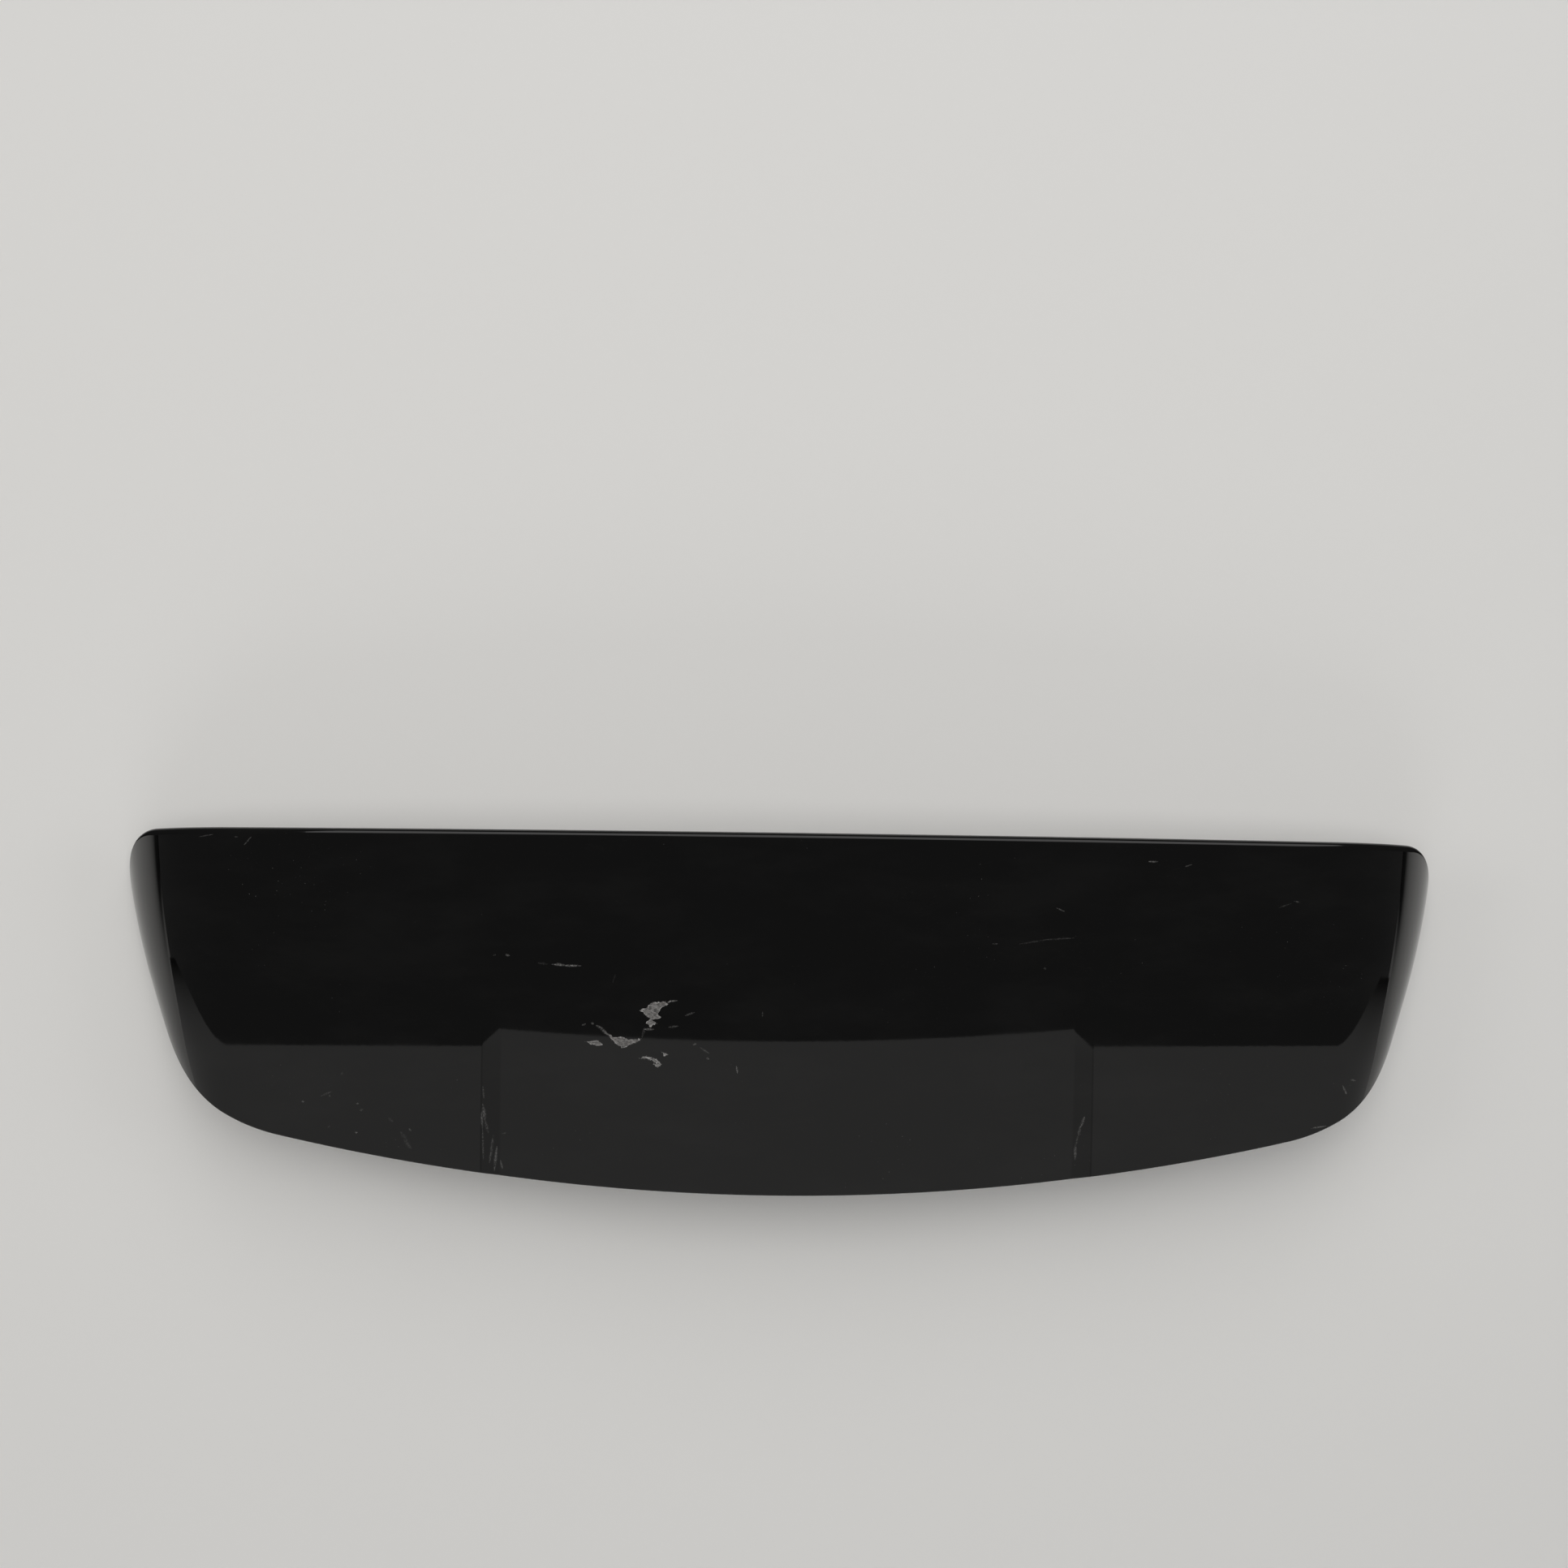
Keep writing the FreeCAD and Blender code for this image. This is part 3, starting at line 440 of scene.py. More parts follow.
class Shader:
    """Small helper that adds and joins the nodes of one material."""

    def __init__(self, name):
        self.material = bpy.data.materials.new(name)
        self.material.use_nodes = True
        self.tree = self.material.node_tree
        self.tree.nodes.clear()
        self.out = self.tree.nodes.new("ShaderNodeOutputMaterial")
        self.surface = self.tree.nodes.new("ShaderNodeBsdfPrincipled")
        self.tree.links.new(self.surface.outputs["BSDF"], self.out.inputs["Surface"])
        self.place = self.tree.nodes.new("ShaderNodeTexCoord").outputs["Object"]

    def put(self, socket, value):
        if isinstance(value, bpy.types.NodeSocket):
            self.tree.links.new(value, socket)
        else:
            socket.default_value = value

    def math(self, kind, first, second=0.0, third=0.0, clamp=False):
        node = self.tree.nodes.new("ShaderNodeMath")
        node.operation = kind
        node.use_clamp = clamp
        for socket, value in zip(node.inputs, (first, second, third)):
            self.put(socket, value)
        return node.outputs[0]

    def vector(self, kind, first, second=(0.0, 0.0, 0.0), output="Vector"):
        node = self.tree.nodes.new("ShaderNodeVectorMath")
        node.operation = kind
        self.put(node.inputs[0], first)
        self.put(node.inputs[1], second)
        return node.outputs[output]

    def axis(self, name):
        node = self.tree.nodes.new("ShaderNodeSeparateXYZ")
        self.put(node.inputs[0], self.place)
        return node.outputs[name]

    def ramp(self, value, low, high, to_low=0.0, to_high=1.0):
        """Smooth step of a value between two limits."""
        node = self.tree.nodes.new("ShaderNodeMapRange")
        node.interpolation_type = "SMOOTHSTEP"
        for name, given in (("Value", value), ("From Min", low), ("From Max", high),
                            ("To Min", to_low), ("To Max", to_high)):
            self.put(node.inputs[name], given)
        return node.outputs["Result"]

    def noise(self, scale, detail=2.0, roughness=0.5, stretch=None, seed=0.0):
        node = self.tree.nodes.new("ShaderNodeTexNoise")
        node.noise_dimensions = "4D"
        place = self.place
        if stretch is not None:
            mapping = self.tree.nodes.new("ShaderNodeMapping")
            self.put(mapping.inputs["Vector"], place)
            self.put(mapping.inputs["Scale"], stretch)
            place = mapping.outputs["Vector"]
        for name, given in (("Vector", place), ("W", seed), ("Scale", scale), ("Detail", detail),
                            ("Roughness", roughness)):
            self.put(node.inputs[name], given)
        return node.outputs["Fac"]

    def cells(self, scale):
        node = self.tree.nodes.new("ShaderNodeTexVoronoi")
        self.put(node.inputs["Vector"], self.place)
        self.put(node.inputs["Scale"], scale)
        return node.outputs["Distance"]

    def mix(self, share, first, second):
        node = self.tree.nodes.new("ShaderNodeMix")
        node.data_type = "RGBA"
        self.put(node.inputs["Factor"], share)
        for name, given in (("A", first), ("B", second)):
            socket = [s for s in node.inputs if s.name == name and s.type == "RGBA"][0]
            self.put(socket, given)
        return [s for s in node.outputs if s.type == "RGBA"][0]

    def bump(self, height, distance, strength=1.0, below=None):
        node = self.tree.nodes.new("ShaderNodeBump")
        for name, given in (("Height", height), ("Distance", distance), ("Strength", strength)):
            self.put(node.inputs[name], given)
        if below is not None:
            self.put(node.inputs["Normal"], below)
        return node.outputs["Normal"]

    def attribute(self, name):
        node = self.tree.nodes.new("ShaderNodeAttribute")
        node.attribute_name = name
        return node.outputs["Fac"]

    def finish(self, **values):
        for name, value in values.items():
            self.put(self.surface.inputs[name.replace("_", " ")], value)
        return self.material


def grey(value, warm=0.0):
    return (value * (1 + warm), value, value * (1 - warm), 1.0)


def scratch_group():
    """Node group: how strongly one straight scratch, thinner at its ends, marks a place."""
    group = bpy.data.node_groups.new("scratch_line", "ShaderNodeTree")
    for name, kind in (("place", "NodeSocketVector"), ("start", "NodeSocketVector"),
                       ("run", "NodeSocketVector"), ("per_length", "NodeSocketFloat"),
                       ("half_width", "NodeSocketFloat"), ("strength", "NodeSocketFloat")):
        group.interface.new_socket(name, in_out="INPUT", socket_type=kind)
    group.interface.new_socket("mark", in_out="OUTPUT", socket_type="NodeSocketFloat")
    given = group.nodes.new("NodeGroupInput").outputs
    result = group.nodes.new("NodeGroupOutput").inputs
    links = group.links

    def vector(kind, first, second, output="Vector"):
        node = group.nodes.new("ShaderNodeVectorMath")
        node.operation = kind
        links.new(first, node.inputs[0])
        if second is not None:
            links.new(second, node.inputs["Scale"] if kind == "SCALE" else node.inputs[1])
        return node.outputs[output]

    def plain(kind, first, second):
        node = group.nodes.new("ShaderNodeMath")
        node.operation = kind
        links.new(first, node.inputs[0])
        if isinstance(second, float):
            node.inputs[1].default_value = second
        else:
            links.new(second, node.inputs[1])
        return node.outputs[0]

    offset = vector("SUBTRACT", given["place"], given["start"])
    along = plain("MULTIPLY", vector("DOT_PRODUCT", offset, given["run"], "Value"), given["per_length"])
    held = plain("MINIMUM", plain("MAXIMUM", along, 0.0), 1.0)
    nearest = vector("SCALE", given["run"], held)
    away = vector("SUBTRACT", offset, nearest)
    length = vector("LENGTH", away, None, "Value")
    rest = plain("MULTIPLY", plain("SUBTRACT", held, 1.0), -4.0)
    swell = plain("ADD", plain("MULTIPLY", plain("MULTIPLY", held, rest), 0.7), 0.3)
    share = plain("DIVIDE", length, plain("MULTIPLY", given["half_width"], swell))
    left = plain("SUBTRACT", share, 1.0)
    mark = plain("MAXIMUM", plain("MULTIPLY", left, -1.0), 0.0)
    links.new(plain("MULTIPLY", mark, given["strength"]), result["mark"])
    return group


PAINT_BLACK = grey(0.0022)
FILM_GREY = grey(0.5, 0.04)
DUST_GREY = grey(0.5, 0.03)
SCRATCH_GREY = grey(0.42, 0.02)
CHIP_DARK = grey(0.045, 0.03)
CHIP_LIGHT = grey(0.21, 0.03)
CHIP_BLUSH = (0.20, 0.15, 0.14, 1.0)
CHIP_RIM = grey(0.40, 0.02)
# Painted shade on the sloping bands beside the recess: where it starts and where it is full along Y, and how
# soft its sides are
BAND_SHADE_START = -60.0
BAND_SHADE_FULL = -95.0
BAND_SHADE_BLUR = 1.2


def paint_material():
    """Gloss black paint with light wear: chips to grey plastic, scratches, dust and smudges; painted shade
    as lowered gloss on the recess bands.
    """
    shader = Shader("skin_paint")
    group = scratch_group()
    flat = shader.vector("MULTIPLY", shader.place, (1.0, 1.0, 0.0))
    marks = 0.0
    for start, end, half_width, strength in SCRATCHES:
        node = shader.tree.nodes.new("ShaderNodeGroup")
        node.node_tree = group
        run = (np.array(end) - np.array(start)) * MM
        shader.put(node.inputs["place"], flat)
        node.inputs["start"].default_value = (start[0] * MM, start[1] * MM, 0.0)
        node.inputs["run"].default_value = (run[0], run[1], 0.0)
        node.inputs["per_length"].default_value = 1 / float(run @ run)
        node.inputs["half_width"].default_value = half_width * 2 * MM
        node.inputs["strength"].default_value = strength
        marks = shader.math("MAXIMUM", node.outputs["mark"], marks)
    broken = shader.ramp(shader.noise(800.0, 5.0, 0.7, seed=3.0), 0.38, 0.6)
    uneven = shader.ramp(shader.noise(150.0, 3.0, 0.6, seed=10.0), 0.3, 0.6, 0.35, 1.0)
    scratched = shader.math("MULTIPLY", marks, shader.math("MULTIPLY", broken, uneven), clamp=True)

    coarse = shader.math("MULTIPLY_ADD", shader.noise(300.0, 6.0, 0.75, seed=1.0), 6.4, -3.1)
    fine = shader.math("MULTIPLY_ADD", shader.noise(1500.0, 3.0, 0.6, seed=4.0), 2.4, -1.2)
    depth = shader.math("ADD", shader.attribute("chip"), shader.math("ADD", coarse, fine))
    chipped = shader.ramp(depth, -0.12, 0.08, 1.0, 0.0)
    rim = shader.ramp(shader.math("ABSOLUTE", shader.math("ADD", depth, 0.25)), 0.1, 0.5, 1.0, 0.0)
    rim = shader.math("MULTIPLY", rim, shader.ramp(shader.noise(240.0, 3.0, 0.6, seed=6.0), 0.35, 0.6))
    patchy = shader.ramp(shader.noise(380.0, 6.0, 0.8, stretch=(1.0, 2.0, 1.0), seed=2.0), 0.42, 0.58)
    plastic = shader.mix(patchy, CHIP_DARK, CHIP_LIGHT)
    blush = shader.ramp(shader.noise(60.0, 2.0, 0.5, seed=8.0), 0.5, 0.66)
    plastic = shader.mix(shader.math("MULTIPLY", blush, 0.15), plastic, CHIP_BLUSH)
    plastic = shader.mix(rim, plastic, CHIP_RIM)

    specks = shader.ramp(shader.cells(520.0), 0.05, 0.10, 1.0, 0.0)
    where = shader.ramp(shader.noise(14.0, 3.0, 0.6, seed=5.0), 0.52, 0.74)
    dust = shader.math("MULTIPLY", shader.math("MULTIPLY", specks, where), 0.10)
    grains = shader.math("MULTIPLY", shader.ramp(shader.cells(170.0), 0.04, 0.075, 1.0, 0.0), 0.14)
    grains = shader.math("MULTIPLY", grains, shader.ramp(shader.noise(11.0, 3.0, 0.6, seed=12.0), 0.5, 0.68))
    dust = shader.math("MAXIMUM", dust, grains)
    smudge = shader.ramp(shader.noise(9.0, 4.0, 0.62, stretch=(1.0, 2.6, 1.0), seed=7.0), 0.42, 0.72)
    film = shader.math("MULTIPLY", smudge, 0.004)

    # Painted shade: the specular level is lowered on the sloping bands beside the recess, and more on a thin
    # line at the outer crease. It grows towards the trailing edge, so these places mirror less and look
    # darker
    aside = shader.math("ABSOLUTE", shader.axis("X"))
    behind = shader.ramp(shader.axis("Y"), BAND_SHADE_FULL * MM, BAND_SHADE_START * MM, 1.0, 0.0)
    inner = shader.ramp(aside, (FLOOR_HALF - BAND_SHADE_BLUR) * MM, (FLOOR_HALF + BAND_SHADE_BLUR) * MM)
    outer_edge = FLOOR_HALF + BAND
    outer = shader.ramp(aside, (outer_edge - BAND_SHADE_BLUR) * MM, outer_edge * MM, 1.0, 0.0)
    crease_away = shader.math("ABSOLUTE", shader.math("SUBTRACT", aside, outer_edge * MM))
    crease = shader.ramp(crease_away, 0.0, BAND_SHADE_BLUR * MM, 1.0, 0.0)
    band_shade_share = shader.math("MULTIPLY", shader.math("MULTIPLY", inner, outer), 0.14)
    band_shade_share = shader.math("MULTIPLY", shader.math("MULTIPLY_ADD", crease, 0.35, band_shade_share), behind)
    gloss = shader.math("MULTIPLY_ADD", band_shade_share, -0.5, 0.5)

    colour = shader.mix(film, PAINT_BLACK, FILM_GREY)
    colour = shader.mix(dust, colour, DUST_GREY)
    colour = shader.mix(scratched, colour, SCRATCH_GREY)
    colour = shader.mix(chipped, colour, plastic)
    rough = shader.math("MULTIPLY_ADD", smudge, 0.025, 0.03)
    rough = shader.math("MULTIPLY_ADD", scratched, 0.4, rough)
    rough = shader.math("MULTIPLY_ADD", chipped, 0.6, rough, clamp=True)
    peel = shader.bump(shader.noise(260.0, 2.0, 0.5, seed=9.0), 0.000003)
    sunk = shader.bump(shader.math("SUBTRACT", 1.0, chipped), 0.00012, 1.0, peel)
    return shader.finish(Base_Color=colour, Roughness=rough, Specular_IOR_Level=gloss, Normal=sunk)


def plastic_material(name, dark, light, grain, rough, depth, cloud=18.0):
    """Moulded plastic with a fine grain and cloudy gloss."""
    shader = Shader(name)
    clouds = shader.ramp(shader.noise(cloud, 4.0, 0.6, seed=1.0), 0.3, 0.7)
    fine = shader.noise(grain, 3.0, 0.6, seed=2.0)
    colour = shader.mix(clouds, dark, light)
    roughness = shader.math("MULTIPLY_ADD", fine, 0.16, rough - 0.08)
    return shader.finish(Base_Color=colour, Roughness=roughness, Normal=shader.bump(fine, depth))


def foam_material(name, dark, light, cell):
    """Closed-cell foam: small round cells in a soft matt sheet."""
    shader = Shader(name)
    cells = shader.cells(cell)
    clouds = shader.noise(40.0, 3.0, 0.6, seed=4.0)
    colour = shader.mix(shader.math("MULTIPLY", shader.ramp(cells, 0.1, 0.6), clouds), dark, light)
    return shader.finish(Base_Color=colour, Roughness=0.92, Specular_IOR_Level=0.25,
                         Normal=shader.bump(cells, 0.0004, 0.7))


def rubber_material(name):
    """Extruded rubber with fine lines along its length and a grey bloom."""
    shader = Shader(name)
    lines = shader.noise(900.0, 2.0, 0.5, stretch=(0.01, 1.0, 1.0), seed=2.0)
    bloom = shader.ramp(shader.noise(30.0, 4.0, 0.6, stretch=(0.3, 1.0, 1.0), seed=3.0), 0.45, 0.8)
    colour = shader.mix(shader.math("MULTIPLY", bloom, 0.5), grey(0.012), grey(0.05))
    return shader.finish(Base_Color=colour, Roughness=shader.math("MULTIPLY_ADD", lines, 0.2, 0.5),
                         Normal=shader.bump(lines, 0.00006))


ZINC_DARK = (0.62, 0.61, 0.57, 1.0)
ZINC_LIGHT = (0.74, 0.73, 0.70, 1.0)


def steel_material(name):
    """Zinc plated steel with a cloudy surface."""
    shader = Shader(name)
    clouds = shader.noise(220.0, 4.0, 0.6, seed=1.0)
    colour = shader.mix(shader.ramp(clouds, 0.35, 0.7), ZINC_DARK, ZINC_LIGHT)
    return shader.finish(Base_Color=colour, Metallic=1.0,
                         Roughness=shader.math("MULTIPLY_ADD", clouds, 0.22, 0.2),
                         Normal=shader.bump(clouds, 0.00003))


FLOOR_COLOUR = (0.80, 0.795, 0.78, 1.0)
FLOOR_HOLD = (0.6, 0.2, 1.0)
FLOOR_MIRROR_FADE = 1.0
FLOOR_DIM_FROM = (-0.22, 0.0)
FLOOR_BACKDROP = (0.5, 1.9)
BACKDROP_LEVEL = 0.66
BACKDROP_COLOUR = (1.0, 0.995, 0.985, 1.0)


def floor_material(name):
    """Pale matt floor that runs into the backdrop. The paint mirrors it more darkly away from the part."""
    shader = Shader(name)
    beyond = shader.vector("SUBTRACT", shader.vector("ABSOLUTE", shader.place), FLOOR_HOLD)
    distance = shader.vector("LENGTH", shader.vector("MAXIMUM", beyond), output="Value")
    ray = shader.tree.nodes.new("ShaderNodeLightPath").outputs
    dimmed = shader.math("MULTIPLY", ray["Is Glossy Ray"], shader.ramp(distance, 0.0, FLOOR_MIRROR_FADE))
    dimmed = shader.math("MULTIPLY", dimmed, shader.ramp(shader.axis("Y"), *FLOOR_DIM_FROM))
    backdrop = shader.math("MULTIPLY", ray["Is Camera Ray"], shader.ramp(distance, *FLOOR_BACKDROP))
    colour = shader.mix(dimmed, FLOOR_COLOUR, grey(0.03))
    colour = shader.mix(backdrop, colour, grey(0.0))
    return shader.finish(Base_Color=colour, Roughness=0.7, Specular_IOR_Level=0.0,
                         Emission_Color=BACKDROP_COLOUR,
                         Emission_Strength=shader.math("MULTIPLY", backdrop, BACKDROP_LEVEL))


def glow_material(name, level, fade_start, fade_end):
    """Even glow that fades out towards both ends along X."""
    shader = Shader(name)
    away = shader.math("ABSOLUTE", shader.axis("X"))
    return shader.finish(Base_Color=grey(0.0), Specular_IOR_Level=0.0, Emission_Color=(1.0, 0.99, 0.97, 1.0),
                         Emission_Strength=shader.ramp(away, fade_start, fade_end, level, 0.0))


paint = paint_material()
raw_plastic = plastic_material("raw_plastic", grey(0.012), grey(0.02), 2600.0, 0.5, 0.00004)

# Painted skin

CHIP_ZONE_X = (-184.0, -66.0)
CHIP_ZONE_Y = (-104.0, -38.0)
END_STEPS = 56
EDGE_STEPS = 8
COLUMN_STEP = 5.5
ROW_STEP = 4.6
CHIP_STEP = 0.8
CREASE_STEP = 0.6
CREASE_PAD = 4.0
INNER_COLUMN_STEP = 12.0
INNER_ROW_STEP = 10.0
INNER_CREASE_STEP = 4.0


def skin_columns(coarse, fine, crease):
    inner = FLOOR_HALF - CREASE_PAD
    outer = FLOOR_HALF + BAND + CREASE_PAD
    stops = [(-TRAILING_HALF, 0), (-outer, coarse), (-inner, crease), (CHIP_ZONE_X[0], coarse),
             (CHIP_ZONE_X[1], fine), (inner, coarse), (outer, crease), (TRAILING_HALF, coarse)]
    return spaced(stops)


def skin_rows(coarse, fine):
    rear = FRONT - CHORD
    places = spaced([(rear, 0), (CHIP_ZONE_Y[0], coarse), (CHIP_ZONE_Y[1], fine), (FRONT, coarse)])
    return (places - rear) / CHORD


def face_of(grid):
    x, y = grid[..., 0], grid[..., 1]
    return np.dstack([x, y, top(x, y)]), top_normal(x, y)


def upright(ways, up=0.0):
    return np.column_stack([ways, np.full(len(ways), up)])


def raised(plan, heights):
    return np.column_stack([plan, heights])


def lip_height(plan):
    """Lower edge of the skin's turned edge, at the solid's height: deeper along the front flange."""
    x, y = plan[:, 0], plan[:, 1]
    returned = top(x, y, SOLID_ROLL_OUT) - EDGE_RETURN
    flange = LEAD_HEIGHT - FLANGE_DEPTH - crown_fall(x)
    lip = np.where(y >= FRONT - FRONT_CORNER, np.minimum(returned, flange), returned)
    return np.maximum(lip, cad_low.z / MM)


def build_skin():
    builder = Builder()
    shares = skin_rows(ROW_STEP, CHIP_STEP)
    lines = edge_lines(skin_columns(COLUMN_STEP, CHIP_STEP, CREASE_STEP), shares, END_STEPS)
    builder.add(*face_of(plan_grid(lines, shares, rounded_inset)), 0)
    painted_count = builder.count

    outline, ways = loop_of(lines)
    slope = edge_slope(outline, ways)
    start = moved_in(outline, ways, rounded_inset(outline, ways))
    start_height = top(start[:, 0], start[:, 1])
    radius = edge_radius(ways)
    rings, ring_normals = [], []
    for share in np.linspace(0, 1, EDGE_STEPS + 1):
        turn = slope + (math.pi / 2 - slope) * share
        out = radius * (np.sin(turn) - np.sin(slope))
        down = radius * (np.cos(slope) - np.cos(turn))
        rings.append(raised(start + ways * out[:, None], start_height - down))
        ring_normals.append(np.column_stack([ways * np.sin(turn)[:, None], np.cos(turn)]))
    lip = lip_height(outline)
    rings.append(raised(outline, lip))
    ring_normals.append(upright(ways))
    builder.add(np.array(rings), np.array(ring_normals), 0, flip=True, closed=True)

    inside = moved_in(outline, ways, WALL)
    down = np.tile([0.0, 0.0, -1.0], (len(outline), 1))
    lip_rings = np.array([raised(outline, lip), raised(inside, lip)])
    builder.add(lip_rings, np.array([down, down]), 0, flip=True, closed=True)
    ceiling = top(inside[:, 0], inside[:, 1]) - WALL / top_normal(inside[:, 0], inside[:, 1])[:, 2]
    wall_rings = np.array([raised(inside, lip), raised(inside, ceiling)])
    builder.add(wall_rings, np.array([upright(-ways), upright(-ways)]), 1, flip=True, closed=True)

    coarse_shares = skin_rows(INNER_ROW_STEP, INNER_ROW_STEP)
    columns = skin_columns(INNER_COLUMN_STEP, INNER_COLUMN_STEP, INNER_CREASE_STEP)
    coarse = edge_lines(columns, coarse_shares, END_STEPS // 2)
    points, normals = face_of(plan_grid(coarse, coarse_shares, wall_inset))
    points[..., 2] -= WALL / normals[..., 2]
    builder.add(points, -normals, 1, flip=True)

    skin, places = builder.make("painted_skin", (paint, raw_plastic))
    distance = np.full(len(places), CHIP_FAR)
    near = np.arange(len(places)) < painted_count
    near &= (places[:, 0] > CHIP_ZONE_X[0] - CHIP_FAR) & (places[:, 0] < CHIP_ZONE_X[1] + CHIP_FAR)
    near &= (places[:, 1] > CHIP_ZONE_Y[0] - CHIP_FAR) & (places[:, 1] < CHIP_ZONE_Y[1] + CHIP_FAR)
    distance[near] = chip_distance(places[near, :2])
    layer = skin.data.attributes.new("chip", "FLOAT", "POINT")
    layer.data.foreach_set("value", distance.astype(np.float32))
    return skin


skin = build_skin()
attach(skin, "root")
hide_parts("upper_skin")

# Studs with a cut thread

STUD_SPACING = (660.0, 70.0)
STUD_RADIUS = 3.0
STUD_REACH = 22.0
STUD_NECK = 7.2
STUD_HEAD_CIRCLE = 16.0 / math.sqrt(3)
STUD_HEAD_HEIGHT = 4.5
STUD_CHAMFER = 0.3
STUD_LAP = 0.5
THREAD_PITCH = 1.0
THREAD_DEPTH = 0.6
THREAD_FLAT = 1.2
THREAD_FLANK = 2.8
THREAD_ROUND = 24
THREAD_STEPS = 6
TIP_CHAMFER = 0.8


def prism(radius, sides, turn, low, high):
    """Rings of an upright prism with chamfered ends."""
    angles = turn + np.arange(sides) * 2 * math.pi / sides
    shape = np.stack([np.cos(angles), np.sin(angles)], axis=-1)
    rings = []
    for inset, height in ((STUD_CHAMFER, low), (0, low + STUD_CHAMFER), (0, high - STUD_CHAMFER),
                          (STUD_CHAMFER, high)):
        rings.append(raised(shape * (radius - inset), np.full(sides, height)))
    return rings


def threaded_shank():
    """Rings of a shank whose thread runs out under the neck, with a chamfered tip."""
    angles = np.arange(THREAD_ROUND) * 2 * math.pi / THREAD_ROUND
    shape = np.stack([np.cos(angles), np.sin(angles)], axis=-1)
    rings = []
    count = int(round((STUD_REACH + STUD_LAP) / THREAD_PITCH * THREAD_STEPS))
    for height in np.linspace(-STUD_REACH, STUD_LAP, count + 1):
        phase = np.mod(height / THREAD_PITCH - angles / (2 * math.pi), 1)
        run_out = np.clip(-height / THREAD_PITCH, 0, 1)
        cut = THREAD_DEPTH * run_out * np.clip(THREAD_FLAT - np.abs(phase - 0.5) * THREAD_FLANK, 0, 1)
        tip = STUD_RADIUS - TIP_CHAMFER + height + STUD_REACH
        radius = np.minimum(STUD_RADIUS - cut, tip)
        rings.append(raised(shape * radius[:, None], np.full(THREAD_ROUND, height)))
    return rings


def build_studs(head_top):
    points, faces, smooth = [], [], []

    def add(rings, place, is_smooth):
        first = sum(len(part) for part in points)
        sides = len(rings[0])
        points.append((np.vstack(rings) + place) * MM)
        made = [list(range(first, first + sides))[::-1]]
        for ring in range(len(rings) - 1):
            start = first + ring * sides
            for side in range(sides):
                following = (side + 1) % sides
                above = start + sides
                made.append([start + side, start + following, above + following, above + side])
        last = first + (len(rings) - 1) * sides
        made.append(list(range(last, last + sides)))
        faces.extend(made)
        smooth.extend([False] + [is_smooth] * (len(made) - 2) + [False])

    boss_top = head_top - STUD_HEAD_HEIGHT
    for side_x in (-1, 1):
        for side_y in (-1, 1):
            place = np.array([side_x * STUD_SPACING[0] / 2, side_y * STUD_SPACING[1] / 2, 0.0])
            add(threaded_shank(), place, True)
            add(prism(STUD_NECK / math.sqrt(2), 4, math.pi / 4, 0.0, boss_top + STUD_LAP), place, False)
            add(prism(STUD_HEAD_CIRCLE, 6, 0.0, boss_top, head_top), place, False)
    mesh = bpy.data.meshes.new("threaded_studs")
    mesh.from_pydata(np.vstack(points).tolist(), [], faces)
    mesh.polygons.foreach_set("use_smooth", smooth)
    mesh.materials.append(steel_material("stud_steel"))
    thing = bpy.data.objects.new("threaded_studs", mesh)
    bpy.context.scene.collection.objects.link(thing)
    return thing


cad_studs = nodes["mounting_studs"]
studs = build_studs(max((cad_studs.matrix_world @ v.co).z for v in cad_studs.data.vertices) / MM)
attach(studs, "root")
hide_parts("mounting_studs")

# The other pieces of the hidden side keep their solids and get small rounded edges

WELD_REACH = 0.00001
BEVEL_SEGMENTS = 2
BEVEL_ANGLE = math.radians(35)
LOOKS = {
    "lower_panel": (plastic_material("panel_plastic", grey(0.014), grey(0.024), 1500.0, 0.52, 0.00012),
                    0.5),
    "stud_gaskets": (foam_material("ring_foam", grey(0.018), grey(0.05), 900.0), 0.3),
    "front_seal": (rubber_material("seal_rubber"), 1.2),
    "side_clips": (plastic_material("clip_plastic", grey(0.62, 0.04), grey(0.72, 0.03), 1800.0, 0.42,
                                    0.00003, 60.0), 0.3),
    "rest_pads": (foam_material("pad_foam", grey(0.02), grey(0.055), 700.0), 1.0),
}
for name, (material, rounding) in LOOKS.items():
    piece = nodes[name]
    piece.data.materials.clear()
    piece.data.materials.append(material)
    weld = piece.modifiers.new("weld", "WELD")
    weld.merge_threshold = WELD_REACH
    bevel = piece.modifiers.new("rounding", "BEVEL")
    bevel.width = rounding * MM
    bevel.segments = BEVEL_SEGMENTS
    bevel.limit_method = "ANGLE"
    bevel.angle_limit = BEVEL_ANGLE
    bevel.harden_normals = False
    bevel.use_clamp_overlap = True

# Stage: a pale floor under the part, and a pale card beside the trailing edge that only reflections see

FLOOR_GAP = 0.0002


def stage_sheet(name, corners, material):
    mesh = bpy.data.meshes.new(name)
    mesh.from_pydata(corners, [], [range(len(corners))])
    mesh.materials.append(material)
    thing = bpy.data.objects.new(name, mesh)
    bpy.context.scene.collection.objects.link(thing)
    return thing


floor_z = cad_low.z - FLOOR_GAP
FLOOR_REACH = 15.0
floor = stage_sheet("floor", [(-FLOOR_REACH, -FLOOR_REACH, floor_z), (FLOOR_REACH, -FLOOR_REACH, floor_z),
                              (FLOOR_REACH, FLOOR_REACH, floor_z), (-FLOOR_REACH, FLOOR_REACH, floor_z)],
                    floor_material("floor_white"))

CARD_REACH = 2.2
CARD_FADE = 0.9
CARD_Y = -0.235
CARD_TOP = 0.643
CARD_TILT = 0.041
CARD_BOW = 0.085
CARD_STEPS = 24
CARD_GLOW = 0.45


def card_top(x):
    return CARD_TOP + CARD_TILT * x - CARD_BOW * x ** 2


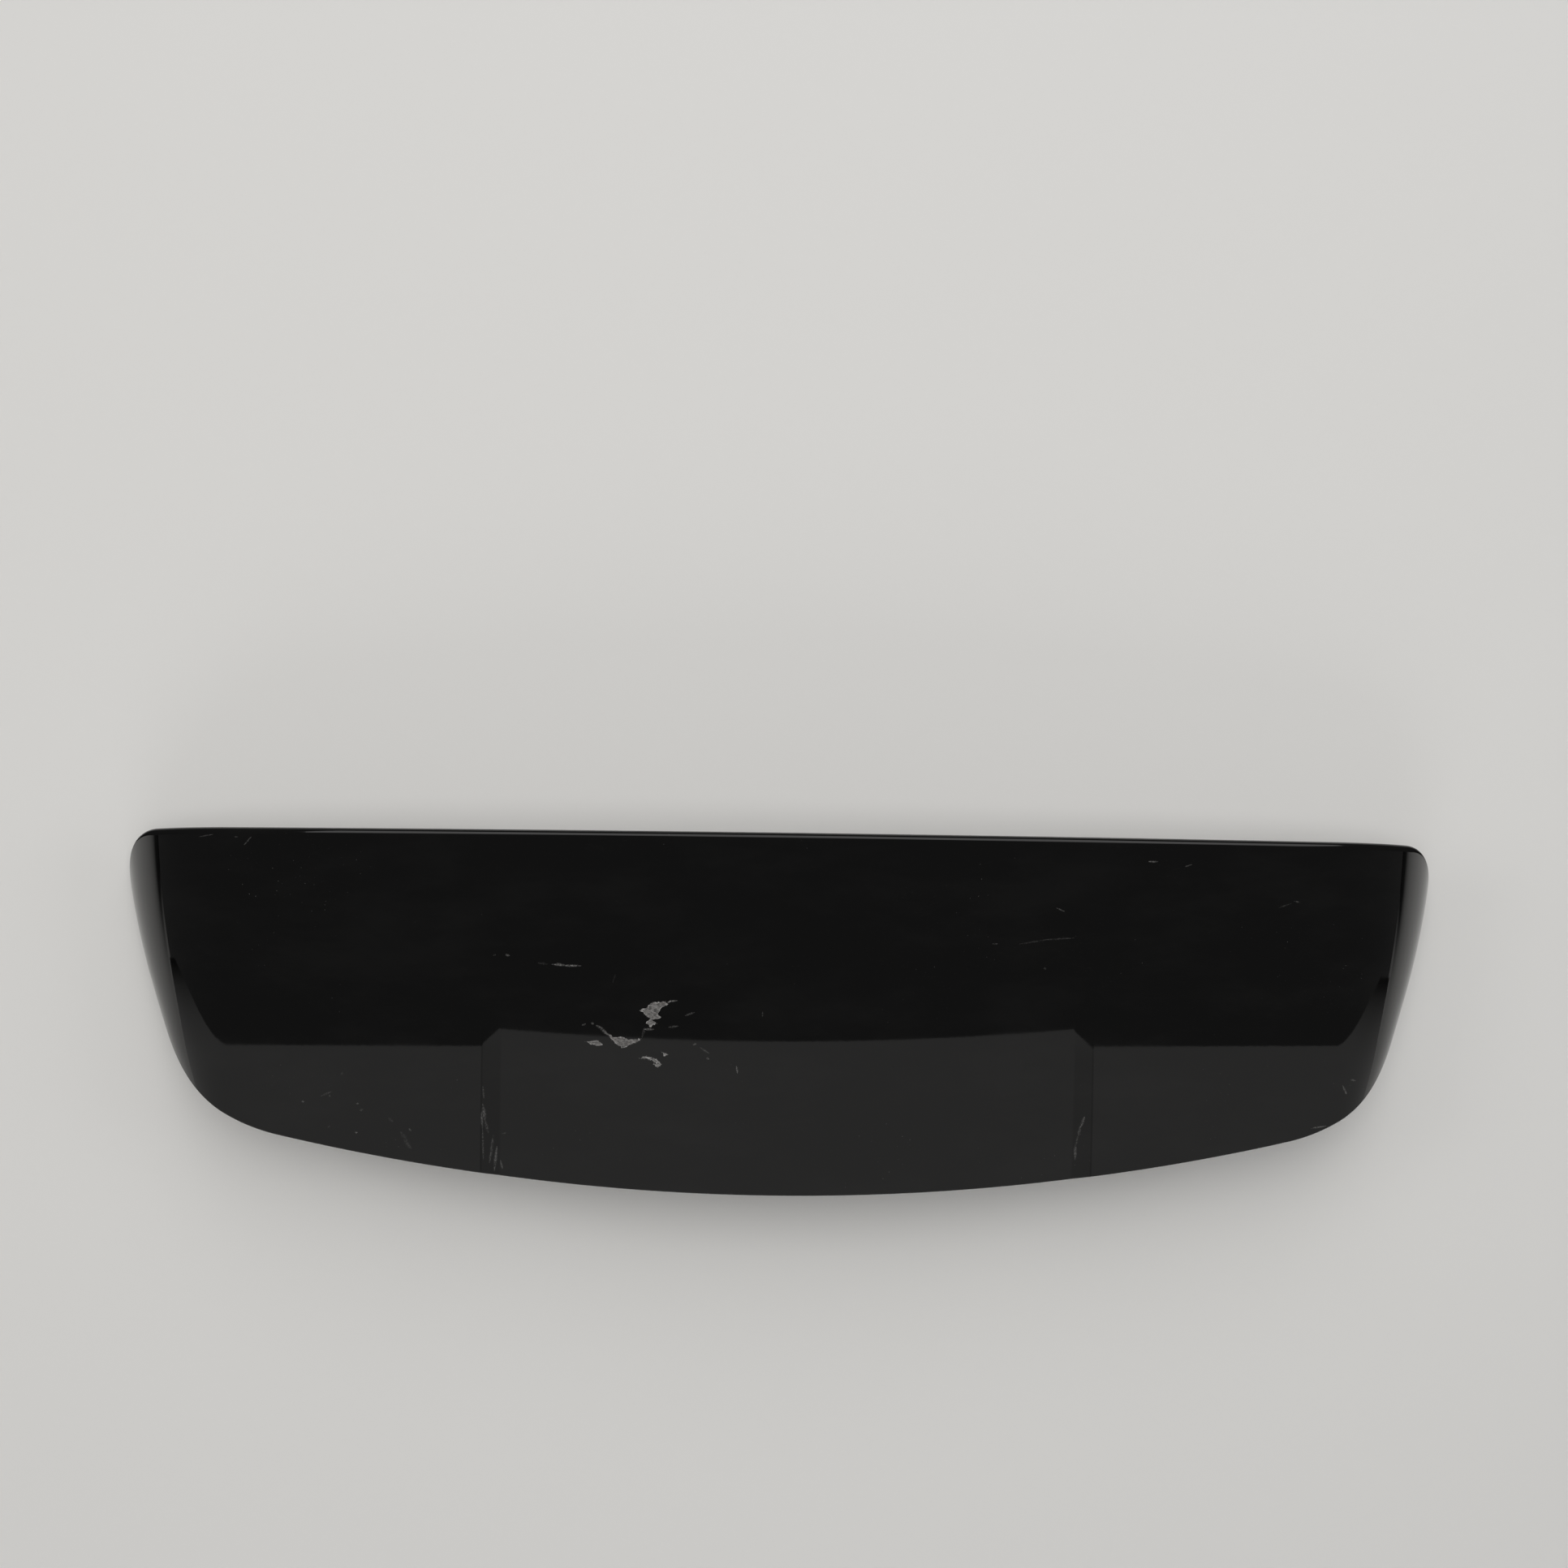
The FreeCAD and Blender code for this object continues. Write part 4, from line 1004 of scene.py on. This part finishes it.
card_places = np.linspace(CARD_REACH, -CARD_REACH, CARD_STEPS + 1)
card_foot = [(-CARD_REACH, CARD_Y, floor_z), (CARD_REACH, CARD_Y, floor_z)]
card = stage_sheet("card", card_foot + [(x, CARD_Y, card_top(x)) for x in card_places],
                   glow_material("card_glow", CARD_GLOW, CARD_FADE, CARD_REACH))
card.visible_camera = False
card.visible_diffuse = False
card.visible_transmission = False
card.visible_shadow = False

# Light: a soft ceiling and two side lights that the paint doesn't mirror, and two soft boxes that it does


def soft_box(name, place, width, height, radiance, colour, mirrored_in_paint):
    light = bpy.data.lights.new(name, "AREA")
    light.shape = "RECTANGLE"
    light.size = width
    light.size_y = height
    light.energy = radiance * math.pi * width * height
    light.color = colour
    thing = bpy.data.objects.new(name, light)
    thing.location = place
    thing.rotation_euler = (-Vector(place)).to_track_quat("-Z", "Y").to_euler()
    thing.visible_camera = False
    thing.visible_glossy = mirrored_in_paint
    bpy.context.scene.collection.objects.link(thing)


soft_box("ceiling_light", (0.0, 0.6, 4.0), 4.0, 4.0, 1.7, (1.0, 0.99, 0.975), False)
soft_box("left_light", (-3.0, 0.5, 1.8), 1.8, 1.2, 2.6, (1.0, 0.985, 0.96), False)
soft_box("right_light", (3.0, 0.3, 1.8), 1.8, 1.2, 2.0, (0.98, 0.99, 1.0), False)
soft_box("front_light", (0.2, 2.6, 2.0), 3.0, 2.0, 1.3, (1.0, 0.99, 0.98), True)
soft_box("rear_light", (-0.4, -3.0, 1.4), 2.4, 0.9, 2.2, (0.99, 0.995, 1.0), True)

WORLD_LEVEL = 0.10
world = bpy.data.worlds.new("studio")
bpy.context.scene.world = world
world.use_nodes = True
tree = world.node_tree
tree.nodes.clear()
ray = tree.nodes.new("ShaderNodeLightPath")
level = tree.nodes.new("ShaderNodeMapRange")
tree.links.new(ray.outputs["Is Camera Ray"], level.inputs["Value"])
level.inputs["To Min"].default_value = WORLD_LEVEL
level.inputs["To Max"].default_value = BACKDROP_LEVEL
background = tree.nodes.new("ShaderNodeBackground")
background.inputs["Color"].default_value = BACKDROP_COLOUR
tree.links.new(level.outputs["Result"], background.inputs["Strength"])
world_out = tree.nodes.new("ShaderNodeOutputWorld")
tree.links.new(background.outputs[0], world_out.inputs["Surface"])

# Camera at the photo's viewing angle

CAMERA_PLACE = Vector((-0.0525, 0.0020, 1.4252))
CAMERA_WAY = Vector((0.0325, 0.1058, -0.9939)).normalized()
CAMERA_UP = Vector((-0.0147, 0.9943, 0.1053))
FOCAL_PIXELS = 1930.0
HALF_PICTURE = 966.0
camera_data = bpy.data.cameras.new("camera")
camera_data.sensor_fit = "HORIZONTAL"
camera_data.angle = 2 * math.atan(HALF_PICTURE / FOCAL_PIXELS)
camera = bpy.data.objects.new("camera", camera_data)
camera_right = CAMERA_WAY.cross(CAMERA_UP).normalized()
camera_up = camera_right.cross(CAMERA_WAY)
turn = Matrix((camera_right, camera_up, -CAMERA_WAY)).transposed()
camera.matrix_world = Matrix.Translation(CAMERA_PLACE) @ turn.to_4x4()
bpy.context.scene.collection.objects.link(camera)
bpy.context.scene.camera = camera
bpy.context.scene.view_settings.view_transform = "Standard"
